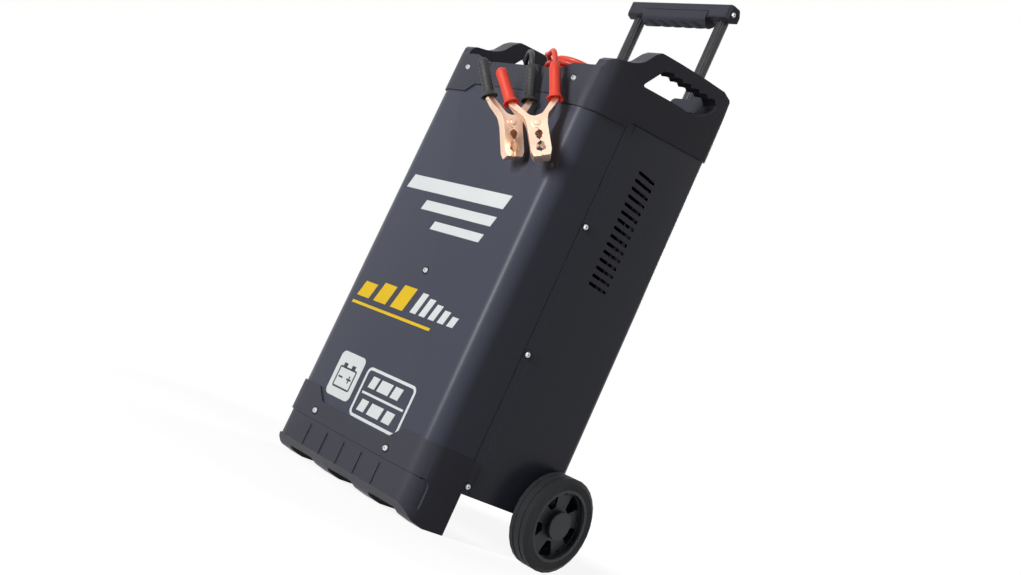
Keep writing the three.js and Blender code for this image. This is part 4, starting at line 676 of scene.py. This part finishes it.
SLEEVE_RADIUS = 7.6
SLEEVE_MOUTH = [                    # radius and distance from the foot, from inside the mouth over its lip
    (4.35, 7.5), (5.6, 6.0), (7.6, 3.2), (8.7, 1.0), (9.2, 0.25), (9.9, 0.0), (10.7, 0.3), (11.0, 1.1),
    (10.7, 1.9), (9.6, 2.6), (8.5, 3.5), (7.9, 5.0),
]
SLEEVE_START = 6.5                  # where the even part starts
SLEEVE_HOLLOW = 0.25                # how much slimmer its middle is
SLEEVE_NECK = [                     # radius and distance from the even part's end, into the lead's hole
    (7.0, 3), (5.9, 6), (4.9, 8), (4.5, 8.8), (4.1, 9), (3.7, 8.4), (3.6, 7),
]
SLEEVE_NECK_LONG = 9
SLEEVE_SIDES = 32
DOME_STEPS = 7
DOME_TIP = 0.6                      # radius of the last ring of a closed top
RIPPLE = 5.4                        # length of one wave along a ribbed sleeve
RIPPLE_DEEP = 0.8
RIPPLE_FADE = 4                     # steps before the top in which the waves fade


def sleeve_rings(colour, holds_lead):
    """Rings of a soft sleeve from inside its flared mouth, over the lip, to its top."""
    rings = list(SLEEVE_MOUTH)
    ribbed = colour == "black"
    top = SLEEVE_LONG - (SLEEVE_NECK_LONG if holds_lead else SLEEVE_RADIUS)
    steps = 36 if ribbed else 12
    for i in range(steps + 1):
        z = SLEEVE_START + (top - SLEEVE_START) * i / steps
        slim = SLEEVE_RADIUS - SLEEVE_HOLLOW * math.sin(math.pi * i / steps)
        if ribbed:
            wave = RIPPLE_DEEP * (0.5 - 0.5 * math.cos(2 * math.pi * z / RIPPLE))
            wave *= min(1, (steps - i) / RIPPLE_FADE)
            rings.append((lambda a, r=slim, w=wave: r - w * abs(math.cos(a)) ** 1.5, z))
        else:
            rings.append((slim, z))
    if holds_lead:
        return rings + [(radius, top + past) for radius, past in SLEEVE_NECK]
    for k in range(1, DOME_STEPS):
        angle = math.pi / 2 * k / DOME_STEPS
        rings.append((SLEEVE_RADIUS * math.cos(angle), top + SLEEVE_RADIUS * math.sin(angle)))
    return [*rings, (DOME_TIP, SLEEVE_LONG)]


def make_sleeve(colour, half, material):
    side = 1 if half == "fixed" else -1
    pose = metres_at(0, 0, 0) @ clamp_pose(colour) @ Matrix.Diagonal((side, 1, 1, 1))
    foot = Matrix.Translation((SLEEVE_FOOT[0], 0, SLEEVE_FOOT[1]))
    place = pose @ foot @ Matrix.Rotation(SLEEVE_LEAN, 4, "Y")
    rings = sleeve_rings(colour, half == "fixed")
    body = "charger" if half == "fixed" else f"{colour}_jaw"
    piece = turned_piece(
        f"{colour}_sleeve_{half}", rings, SLEEVE_SIDES, place, material, body,
        closed=False,
    )
    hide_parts(f"clamp_{colour}_sleeve_{half}")
    return piece


def lead_sheath(colour, settings):
    return finish(
        f"{colour}_sheath", getattr(settings, colour), 0.4, grain=1400, grain_depth=0.00003, mottle=0.06,
        edge=0, specular=0.5, coat=0.1,
    )


def sleeve_rubber(colour, settings):
    return finish(
        f"{colour}_sleeve_rubber", getattr(settings, colour), 0.46 if colour == "red" else 0.55, grain=900,
        grain_depth=0.00008, mottle=0.06, mottle_scale=80, edge=0, specular=0.4,
    )


class CHARGER_OT_leads(bpy.types.Operator):
    """Makes the two leads that lie coiled in the tray, and the soft sleeves of their clamps"""
    bl_idname = "charger.leads"
    bl_label = "Leads"

    def execute(self, context):
        settings = context.scene.charger_leads
        for colour in COILS:
            line = lead_line(colour)
            data = bpy.data.curves.new(f"{colour}_lead_run", "CURVE")
            data.dimensions = "3D"
            data.bevel_depth = settings.diameter / 2
            data.bevel_resolution = 5
            data.use_fill_caps = True
            spline = data.splines.new("POLY")
            spline.points.add(len(line) - 1)
            for point, place in zip(spline.points, line):
                point.co = (*place, 1)
            spline.use_smooth = True
            data.materials.append(lead_sheath(colour, settings))
            lead = bpy.data.objects.new(f"{colour}_lead_run", data)
            context.scene.collection.objects.link(lead)
            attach(lead, "charger")
            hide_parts(f"{colour}_coil", f"{colour}_lead")
            rubber = sleeve_rubber(colour, context.scene.charger_clamps)
            clamp = [make_sleeve(colour, half, rubber) for half in ("fixed", "moving")]
            for what in ("jaw_fixed", "jaw_moving", "pivot", "spring"):
                clamp.append(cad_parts[f"clamp_{colour}_{what}"])
        return {"FINISHED"}


# ------------------------------------------------------------------ finishes of the solids
STEP_BEHIND = 14                    # from the seam to the step that is pressed into the rear cover


def powder_coat(name, settings, step_at=None):
    return finish(
        name, settings.coat, settings.roughness, grain=2600, grain_depth=0.00003, grain_share=0.35,
        mottle=0.03, mottle_scale=5, edge=0.0007, edge_highlight=0.25, specular=0.14, spread=0.03, step_at=step_at,
    )


def moulded_plastic(settings):
    return finish(
        "moulded_plastic", settings.moulding, 0.42, grain=1500, grain_depth=0.00006, grain_share=0.6,
        mottle=0.07, edge=settings.edge, edge_highlight=0.45, specular=0.1,
    )


class CHARGER_OT_case(bpy.types.Operator):
    """Finishes the folded covers, the base and the screws"""
    bl_idname = "charger.case"
    bl_label = "Case"

    def execute(self, context):
        settings = context.scene.charger_case
        zinc = finish(
            "bright_zinc", (0.82, 0.83, 0.85), 0.4, metallic=0.75, grain=700, grain_depth=0.00002, mottle=0.1,
            mottle_scale=90, edge=0.0003,
        )
        steel = finish(
            "plain_steel", (0.34, 0.35, 0.36), 0.42, metallic=1, grain=500, mottle=0.12, mottle_scale=30,
            stretch=(1, 1, 0.08),
        )
        step = (SEAM + STEP_BEHIND - GROUND_MIDDLE) / 1000
        dress("front_cover", powder_coat("powder_coat", settings))
        dress("rear_cover", powder_coat("powder_coat_stepped", settings, step))
        dress("base_plate", steel)
        dress("axle", steel)
        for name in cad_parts:
            if "_screw" in name:
                dress(name, zinc)
        return {"FINISHED"}


class CHARGER_OT_mouldings(bpy.types.Operator):
    """Finishes the cap, the foot, the glands and the handle"""
    bl_idname = "charger.mouldings"
    bl_label = "Mouldings"

    def execute(self, context):
        for name in ("top_cap", "front_foot", "handle_bar", "handle_grip"):
            dress(name, moulded_plastic(context.scene.charger_case))
        rubber = finish(
            "gland_rubber", (0.028, 0.029, 0.03), 0.6, grain=1200, mottle=0.1, edge=0.0005, specular=0.4,
        )
        for name in ("lead_gland_black", "lead_gland_red", "mains_gland"):
            dress(name, rubber)
        return {"FINISHED"}


# ------------------------------------------------------------------ print on the front
PRINT_LIFT = 0.02                   # a print's underside above the face that carries it
INNER_RADIUS = 0.3                  # least corner radius inside a frame
BLOCK_LEAN = 0.32                   # sideways per height
MARK_LEAN = 0.2
STRIPES = ((-116, 400, 202, 20), (-66, 374, 144, 14), (-30, 350, 100, 12))
PALE_BLOCKS = {"count": 5, "left": 6, "pitch": 19, "low": 236, "wide": 12, "high": 30, "rise": -4}
YELLOW_BLOCKS = {"count": 3, "left": -112, "pitch": 38, "low": 234, "wide": 27, "high": 22, "rise": 6}
YELLOW_LINE = (-116, 222, 172, 4)
TABLE = {"left": -20, "low": 84, "right": 84, "high": 152, "radius": 9, "wide": 4}
TABLE_RULE = {"left": -12, "right": 76, "half": 1.6}
TABLE_MARKS = ((14, -6), (24, 13), (16, 42))        # width and left end of each
MARK_HIGH = 16
MARK_ABOVE = 8                      # low end of a mark above the rule
MARK_BELOW = 24                     # and how far below the rule the others start
STICKER = {"left": -84, "low": 96, "right": -30, "high": 158}
STICKER_RADIUS = 8
BATTERY = {"left": -76, "low": 108, "right": -38, "high": 138, "radius": 3, "wide": 2.4}
BATTERY_POSTS = (-70, -52)
POST_WIDE = 8
POST_HIGH = 5
SIGN_LIFT = 0.1                     # top of the sticker's lines above the sticker


def slanted(u, v, wide, high, lean=BLOCK_LEAN):
    """A block that leans to the right, from its lower left corner."""
    top = u + lean * high
    foot_right, top_right = u + wide, u + wide + lean * high
    return [Vector(corner) for corner in ((u, v), (foot_right, v), (top_right, v + high), (top, v + high))]


def slanted_row(row):
    """Blocks beside each other, whose heights rise or fall in even steps."""
    return [
        slanted(row["left"] + row["pitch"] * i, row["low"], row["wide"], row["high"] + row["rise"] * i)
        for i in range(row["count"])
    ]


def frame_shape(left, low, right, high, radius, wide):
    """The outer and the inner outline of a frame with rounded corners."""
    outer = rounded(rectangle(left, low, right, high), radius)
    inner = rectangle(left + wide, low + wide, right - wide, high - wide)
    return outer, rounded(inner, max(INNER_RADIUS, radius - wide))


def print_finishes(settings):
    """The pale, the coloured and the dark print."""
    pale = finish("pale_print", settings.pale, 0.5, grain=1800, mottle=0.02, edge=0, specular=0.2)
    accent = finish("accent_print", settings.accent, 0.5, grain=1800, mottle=0.04, edge=0, specular=0.2)
    ink = finish("sticker_ink", settings.ink, 0.5, grain=1800, mottle=0.05, edge=0, specular=0.2)
    return pale, accent, ink


def data_table():
    """A frame with a rule across it and three marks above and below the rule."""
    shapes = [frame_shape(**TABLE)]
    middle = (TABLE["low"] + TABLE["high"]) / 2
    half = TABLE_RULE["half"]
    shapes.append(rectangle(TABLE_RULE["left"], middle - half, TABLE_RULE["right"], middle + half))
    for i, (wide, start) in enumerate(TABLE_MARKS):
        shapes.append(slanted(start, middle + MARK_ABOVE, wide, MARK_HIGH, MARK_LEAN))
        shapes.append(slanted(start + 3 * i - 2, middle - MARK_BELOW, wide + 1, MARK_HIGH, MARK_LEAN))
    return shapes


def battery_sign():
    """The outline of a battery with its two posts, a minus on the left and a plus on the right."""
    shapes = [frame_shape(**BATTERY)]
    top = BATTERY["high"]
    shapes += [rectangle(u, top, u + POST_WIDE, top + POST_HIGH) for u in BATTERY_POSTS]
    minus = rectangle(-71, 122, -62, 124.4)
    plus_across = rectangle(-53, 122, -43, 124.4)
    plus_below = rectangle(-49.2, 118.2, -46.8, 121.9)
    plus_above = rectangle(-49.2, 124.5, -46.8, 128.2)
    return [*shapes, minus, plus_across, plus_below, plus_above]


class CHARGER_OT_print(bpy.types.Operator):
    """Prints plain stripes, blocks and a battery sign on the front"""
    bl_idname = "charger.print"
    bl_label = "Front print"

    def execute(self, context):
        settings = context.scene.charger_print
        pale, accent, ink = print_finishes(settings)
        front = facing_front(0)
        high = settings.thickness * 1000
        white = [*[slanted(*stripe) for stripe in STRIPES], *slanted_row(PALE_BLOCKS), *data_table()]
        yellow = [*slanted_row(YELLOW_BLOCKS), slanted(*YELLOW_LINE)]
        sticker = rounded(rectangle(**STICKER), STICKER_RADIUS)
        plates("front_print_pale", white, front, PRINT_LIFT, high, pale, "charger", "case_steel")
        plates("front_print_accent", yellow, front, PRINT_LIFT, high, accent, "charger", "case_steel")
        plates("front_sticker", [sticker], front, PRINT_LIFT, high, pale, "charger", "case_steel")
        plates(
            "front_sticker_sign", battery_sign(), front, high + PRINT_LIFT, high + SIGN_LIFT, ink, "charger",
            "case_steel",
        )
        return {"FINISHED"}


# ------------------------------------------------------------------ screws, trolley and wheels
RING_GAP = 0.05                     # between a screw's head and its ring
RING_UNDER = 0.15                   # how far a ring goes below the head's seat
RING_EDGE = 0.2                     # height of its outer edge
RING_HIGH = 0.5
RING_BEVEL = 0.4
RING_SIDES = 28
SLIT_HALF = 1.7                     # half the length of a screw's slit
SLIT_WIDE = 0.75
SLIT_HIGH = 0.05
SLIT_STEP = 0.01                    # the second slit of a cross is that much higher
DISC_RINGS = [(11, 0.6), (45.5, 0.6), (45.5, 1.8), (30, 2.4), (11, 1.8)]    # behind a wheel's windows
DISC_SIDES = 48


class CHARGER_OT_screw_rings(bpy.types.Operator):
    """Puts a dark ring under every screw's head, and on it a cross of two thin dark plates that are painted
    shade of its slits
    """
    bl_idname = "charger.screw_rings"
    bl_label = "Screw rings"

    def execute(self, context):
        settings = context.scene.charger_case
        # One dark finish for the ring round each head's seat and for the painted shade of its slits.
        dark = finish("ring_rubber", (0.012, 0.012, 0.013), 0.6, grain=1200, mottle=0.1, edge=0, specular=0.2)
        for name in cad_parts:
            if "_screw" not in name:
                continue
            low, high = box_in_millimetres(name)
            middle = (low + high) / 2
            sideways = high.x - low.x > high.y - low.y
            outward = Vector((math.copysign(1, middle.x), 0, 0)) if sideways else Vector((0, -1, 0))
            tip = middle + outward * (high - low).dot(Vector((abs(outward.x), abs(outward.y), 0))) / 2
            seat = tip - outward * SCREW_HEAD_HIGH
            turn = outward.to_track_quat("Z", "Y").to_matrix().to_4x4()
            place = Matrix.Scale(0.001, 4) @ Matrix.Translation(seat) @ turn
            bore = SCREW_HEAD + RING_GAP
            wide = SCREW_HEAD + settings.ring * 1000
            rings = [
                (bore, -RING_UNDER), (wide, -RING_UNDER), (wide, RING_EDGE), (wide - RING_BEVEL, RING_HIGH),
                (bore, RING_HIGH),
            ]
            body = "trolley" if name.startswith("bar_") else "charger"
            turned_piece(f"{name}_ring", rings, RING_SIDES, place, dark, body)
            # Each screw stands at another angle, which its place gives.
            spin = place @ Matrix.Rotation(middle.x + middle.z, 4, "Z")
            # Painted shade: each slit of the cross is a thin dark plate on the head, dark for the shade in
            # its recess.
            cross = [bar(-SLIT_HALF, 0, SLIT_HALF, 0, SLIT_WIDE), bar(0, -SLIT_HALF, 0, SLIT_HALF, SLIT_WIDE)]
            for i, slit_shade in enumerate(cross):
                top = SCREW_HEAD_HIGH + SLIT_HIGH + SLIT_STEP * i
                plates(f"{name}_slit_{i}", [slit_shade], spin, SCREW_HEAD_HIGH, top, dark, body, "black_rubber")
        return {"FINISHED"}


class CHARGER_OT_trolley(bpy.types.Operator):
    """Finishes the trolley tubes and their guides"""
    bl_idname = "charger.trolley"
    bl_label = "Trolley"

    def execute(self, context):
        tube = finish(
            "trolley_tube_coat", (0.03, 0.03, 0.035), 0.24, grain=700, grain_depth=0.00003, mottle=0.08,
            mottle_scale=20, edge=0.0006, edge_highlight=0.3, specular=0.5, stretch=(1, 1, 0.05),
        )
        guide = finish(
            "guide_steel", (0.3, 0.3, 0.31), 0.5, metallic=1, grain=500, mottle=0.1, stretch=(1, 1, 0.06),
        )
        for side in ("left", "right"):
            dress(f"trolley_tube_{side}", tube)
            dress(f"guide_tube_{side}", guide)
        return {"FINISHED"}


class CHARGER_OT_wheels(bpy.types.Operator):
    """Finishes the wheels and closes their windows with a disc behind them"""
    bl_idname = "charger.wheels"
    bl_label = "Wheels"

    def execute(self, context):
        settings = context.scene.charger_wheels
        tyre = finish(
            "tyre_rubber", settings.tyre, 0.68, grain=900, grain_depth=0.00008, mottle=0.16, mottle_scale=40,
            edge=0.0009, edge_highlight=0.6, specular=0.3,
        )
        hub = finish(
            "wheel_plastic", settings.hub, 0.5, grain=1300, grain_depth=0.00005, mottle=0.08, edge=0.0008,
            edge_highlight=0.35, specular=0.4,
        )
        for side in ("left", "right"):
            dress(f"tyre_{side}", tyre)
            dress(f"wheel_hub_{side}", hub)
            low, high = box_in_millimetres(f"wheel_hub_{side}")
            middle = (low + high) / 2
            outward = math.copysign(1, middle.x)
            inner_face = Vector((high.x if outward < 0 else low.x, middle.y, middle.z))
            turn = Matrix.Rotation(outward * math.pi / 2, 4, "Y")
            place = Matrix.Scale(0.001, 4) @ Matrix.Translation(inner_face) @ turn
            turned_piece(
                f"wheel_back_{side}", DISC_RINGS, DISC_SIDES, place, hub, f"wheel_{side}",
            )
        return {"FINISHED"}


class CHARGER_OT_clamps(bpy.types.Operator):
    """Finishes the jaws, rivets and springs"""
    bl_idname = "charger.clamps"
    bl_label = "Clamps"

    def execute(self, context):
        settings = context.scene.charger_clamps
        copper = finish(
            "copper_plating", settings.copper, 0.34, metallic=1, grain=900, grain_depth=0.00002, mottle=0.05,
            mottle_scale=40, edge=0.0006, edge_highlight=0.1,
        )
        steel = finish(
            "clamp_steel", (0.42, 0.42, 0.43), 0.35, metallic=1, grain=900, mottle=0.1, edge=0.0003,
        )
        for colour in CLAMPS:
            for what in ("jaw_fixed", "jaw_moving", "pivot"):
                dress(f"clamp_{colour}_{what}", copper)
            dress(f"clamp_{colour}_spring", steel)
        return {"FINISHED"}


class CHARGER_OT_panel(bpy.types.Operator):
    """Finishes the control panel and its meter, knob, switch and button"""
    bl_idname = "charger.panel"
    bl_label = "Control panel"

    def execute(self, context):
        black = finish("panel_black", (0.02, 0.021, 0.023), 0.45, grain=1400, mottle=0.08, edge=0.0005)
        red = finish("panel_red", (0.55, 0.02, 0.015), 0.38, grain=1400, mottle=0.05, edge=0.0004)
        plate = finish(
            "panel_plate", (0.16, 0.165, 0.18), 0.45, grain=900, grain_depth=0.00002, mottle=0.05,
            edge=0.0005, stretch=(0.06, 1, 1),
        )
        clear = finish(
            "meter_window", (0.95, 0.97, 0.97), 0.06, grain=200, grain_depth=0.00001, mottle=0.01,
            edge=0.0004, edge_highlight=0, spread=0.03, Transmission_Weight=1.0, IOR=1.49,
        )
        dress("control_panel", plate)
        dress("ammeter_housing", black)
        dress("ammeter_lens", clear)
        dress("ammeter_needle", red)
        dress("charge_selector_knob", black)
        dress("power_rocker", red)
        dress("breaker_button", red)
        return {"FINISHED"}


# ------------------------------------------------------------------ print on the control panel
# Bars of a plain seven-bar digit, each from one corner to another on a grid one step wide and two high.
BARS = {
    "a": (0, 2, 1, 2), "b": (1, 1, 1, 2), "c": (1, 0, 1, 1), "d": (0, 0, 1, 0), "e": (0, 0, 0, 1),
    "f": (0, 1, 0, 2), "g": (0, 1, 1, 1),
}
DIGITS = {"0": "abcdef", "1": "bc", "2": "abged", "3": "abgcd", "4": "fgbc", "5": "afgcd", "6": "afgedc"}
DIGIT_PITCH = 0.85                  # from digit to digit, times their height
DIAL_HALF = (30.6, 23.6)
DIAL_RADIUS = 1.6
DIAL_LIFTS = (3.02, 3.2)            # underside and top over the panel
SCALE_LIFTS = (3.22, 3.27)
ZONE_LIFTS = (3.22, 3.3)
SCALE_SWEEP = 90                    # degrees from the first mark to the last
SCALE_MARKS = 20
MARKS_PER_NUMBER = 5
SCALE_RADIUS = 31.5
SHORT_MARK = (29.5, 0.35)           # inner end and width
LONG_MARK = (27.5, 0.6)
SCALE_NUMBERS = ("0", "5", "10", "15", "20")
SCALE_NUMBER = (24, 3.4, 0.55)      # distance from the pivot, height and width of line
ARC_STEP = 3                        # an arc is made of short bars, this many degrees from one to the next
ARC_BAR = 1.72
SCALE_ARC = (31.4, 31.9)
SCALE_ARC_BARS = 22
ZONE_ARC = (31.2, 33.2)
ZONE_START = -21                    # degrees
ZONE_BARS = 9
BORDER = {"left": -112, "low": -47, "right": 112, "high": 47, "radius": 3, "wide": 0.7}
KNOB_MARKS = 7
KNOB_FIRST = 120                    # degrees
KNOB_STEP = 40                      # degrees from mark to mark
KNOB_MARK = (17.5, 20.5, 0.9)       # inner end, outer end and width
KNOB_NUMBER = (23.2, 3.2, 0.5)      # distance from the knob's middle, height and width of line
SWITCH_MARKS = -16                  # from the switch's middle to its two marks, across the panel
SWITCH_OFF = (-9, 4, 0.6)           # up from the switch's middle, height and width of line
SWITCH_ON = (6, 12, 0.8)            # low end, high end and width of line
BREAKER_RING = (7.6, 7.4, 0.7)      # half width, corner radius and width of line


def bar(u0, v0, u1, v1, wide):
    """A straight bar between two points, as a four-sided outline."""
    along = (Vector((u1, v1)) - Vector((u0, v0))).normalized() * wide / 2
    across = Vector((-along.y, along.x))
    start, end = Vector((u0, v0)) - along, Vector((u1, v1)) + along
    return [start - across, end - across, end + across, start + across]


def number(text, u, v, size, wide):
    """The bars of a number, with its middle at (u, v)."""
    bars = []
    for i, digit in enumerate(text):
        left = u + (i - (len(text) - 1) / 2) * size * DIGIT_PITCH - size / 4
        step = size / 2
        for key in DIGITS[digit]:
            u0, v0, u1, v1 = BARS[key]
            bars.append(bar(
                left + u0 * step, v + (v0 - 1) * step, left + u1 * step, v + (v1 - 1) * step, wide,
            ))
    return bars


def ray(u, v, degrees, inner, outer, wide):
    """A bar that points away from (u, v); the angle counts anticlockwise from straight up."""
    angle = math.radians(degrees)
    away = Vector((-math.sin(angle), math.cos(angle)))
    return bar(u + away.x * inner, v + away.y * inner, u + away.x * outer, v + away.y * outer, wide)


def number_at(text, u, v, degrees, radius, size, wide):
    """A number at that angle and distance from (u, v)."""
    angle = math.radians(degrees)
    return number(text, u - math.sin(angle) * radius, v + math.cos(angle) * radius, size, wide)


def scale_marks(u, v):
    """The meter's marks, the arc that they stand on and their numbers, round the needle's pivot."""
    first = SCALE_SWEEP / 2
    marks = []
    for i in range(SCALE_MARKS + 1):
        inner, wide = SHORT_MARK if i % MARKS_PER_NUMBER else LONG_MARK
        marks.append(ray(u, v, first - SCALE_SWEEP * i / SCALE_MARKS, inner, SCALE_RADIUS, wide))
    marks += [ray(u, v, first - ARC_STEP * i, *SCALE_ARC, ARC_BAR) for i in range(SCALE_ARC_BARS)]
    for i, text in enumerate(SCALE_NUMBERS):
        marks += number_at(text, u, v, first - SCALE_SWEEP * i / (len(SCALE_NUMBERS) - 1), *SCALE_NUMBER)
    return marks


def control_marks():
    """The border, the knob's numbered marks, 0 and 1 by the switch and a ring round the button."""
    marks = [frame_shape(**BORDER)]
    u, v = KNOB
    for i in range(KNOB_MARKS):
        marks.append(ray(u, v, KNOB_FIRST - KNOB_STEP * i, *KNOB_MARK))
    for i in range(KNOB_MARKS):
        marks += number_at(str(i), u, v, KNOB_FIRST - KNOB_STEP * i, *KNOB_NUMBER)
    u, v = ROCKER[0] + SWITCH_MARKS, ROCKER[1]
    up, size, wide = SWITCH_OFF
    low, high, thick = SWITCH_ON
    marks += [*number("0", u, v + up, size, wide), bar(u, v + low, u, v + high, thick)]
    u, v = BREAKER
    half, radius, wide = BREAKER_RING
    return [*marks, frame_shape(u - half, v - half, u + half, v + half, radius, wide)]


class CHARGER_OT_panel_print(bpy.types.Operator):
    """Draws the meter's dial and the marks round the knob, the switch and the button"""
    bl_idname = "charger.panel_print"
    bl_label = "Panel print"

    def execute(self, context):
        settings = context.scene.charger_print
        pale, accent, ink = print_finishes(settings)
        panel = panel_frame()
        high = settings.thickness * 1000
        u, v = METER
        wide, tall = DIAL_HALF
        face = rounded(rectangle(u - wide, v - tall, u + wide, v + tall), DIAL_RADIUS)
        pivot = v - NEEDLE_PIVOT
        zone = [ray(u, pivot, ZONE_START - ARC_STEP * i, *ZONE_ARC, ARC_BAR) for i in range(ZONE_BARS)]
        plates("meter_dial", [face], panel, *DIAL_LIFTS, pale, "charger", "panel")
        plates("meter_scale", scale_marks(u, pivot), panel, *SCALE_LIFTS, ink, "charger", "panel")
        plates("meter_zone", zone, panel, *ZONE_LIFTS, accent, "charger", "panel")
        plates("panel_marks", control_marks(), panel, PRINT_LIFT, high, pale, "charger", "panel")
        return {"FINISHED"}


class CHARGER_OT_inside(bpy.types.Operator):
    """Finishes the transformer, the rectifier and the fan"""
    bl_idname = "charger.inside"
    bl_label = "Inside"

    def execute(self, context):
        lamination = finish(
            "laminated_steel", (0.2, 0.2, 0.205), 0.5, metallic=0.8, grain=400, grain_depth=0.0001,
            mottle=0.15, stretch=(0.02, 4, 0.02),
        )
        wire = finish(
            "enamelled_wire", (0.38, 0.12, 0.03), 0.32, metallic=0.4, grain=500, grain_depth=0.0003,
            mottle=0.15, stretch=(0.02, 0.02, 1.2), coat=0.3,
        )
        alloy = finish("bare_aluminium", (0.6, 0.61, 0.62), 0.36, metallic=1, grain=500, stretch=(1, 1, 0.05))
        black = finish("fan_black", (0.02, 0.021, 0.022), 0.5, grain=1200, mottle=0.08)
        dress("transformer_core", lamination)
        dress("transformer_winding", wire)
        dress("rectifier_heatsink", alloy)
        dress("fan_frame", black)
        dress("fan_rotor", black)
        return {"FINISHED"}


OPERATORS = (
    CHARGER_OT_camera, CHARGER_OT_leads, CHARGER_OT_stage, CHARGER_OT_case, CHARGER_OT_mouldings,
    CHARGER_OT_print, CHARGER_OT_screw_rings, CHARGER_OT_trolley, CHARGER_OT_wheels, CHARGER_OT_clamps,
    CHARGER_OT_panel, CHARGER_OT_panel_print, CHARGER_OT_inside,
)


class CHARGER_PT_pieces(bpy.types.Panel):
    """Lists the charger's settings and its operators"""
    bl_idname = "CHARGER_PT_pieces"
    bl_label = "Battery charger"
    bl_space_type = "VIEW_3D"
    bl_region_type = "UI"
    bl_category = "Charger"

    def draw(self, context):
        for name, group in SETTINGS.items():
            box = self.layout.box()
            for key in group.__annotations__:
                box.prop(getattr(context.scene, name), key)
        for operator in OPERATORS:
            self.layout.operator(operator.bl_idname)


CLASSES = (*SETTINGS.values(), *OPERATORS, CHARGER_PT_pieces)


def register():
    for cls in CLASSES:
        bpy.utils.register_class(cls)
    for name, group in SETTINGS.items():
        setattr(bpy.types.Scene, name, PointerProperty(type=group))


def unregister():
    for name in SETTINGS:
        delattr(bpy.types.Scene, name)
    for cls in reversed(CLASSES):
        bpy.utils.unregister_class(cls)


def main():
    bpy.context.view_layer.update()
    register()
    for operator in OPERATORS:
        group, name = operator.bl_idname.split(".")
        getattr(getattr(bpy.ops, group), name)()


if __name__ == "__main__":
    main()
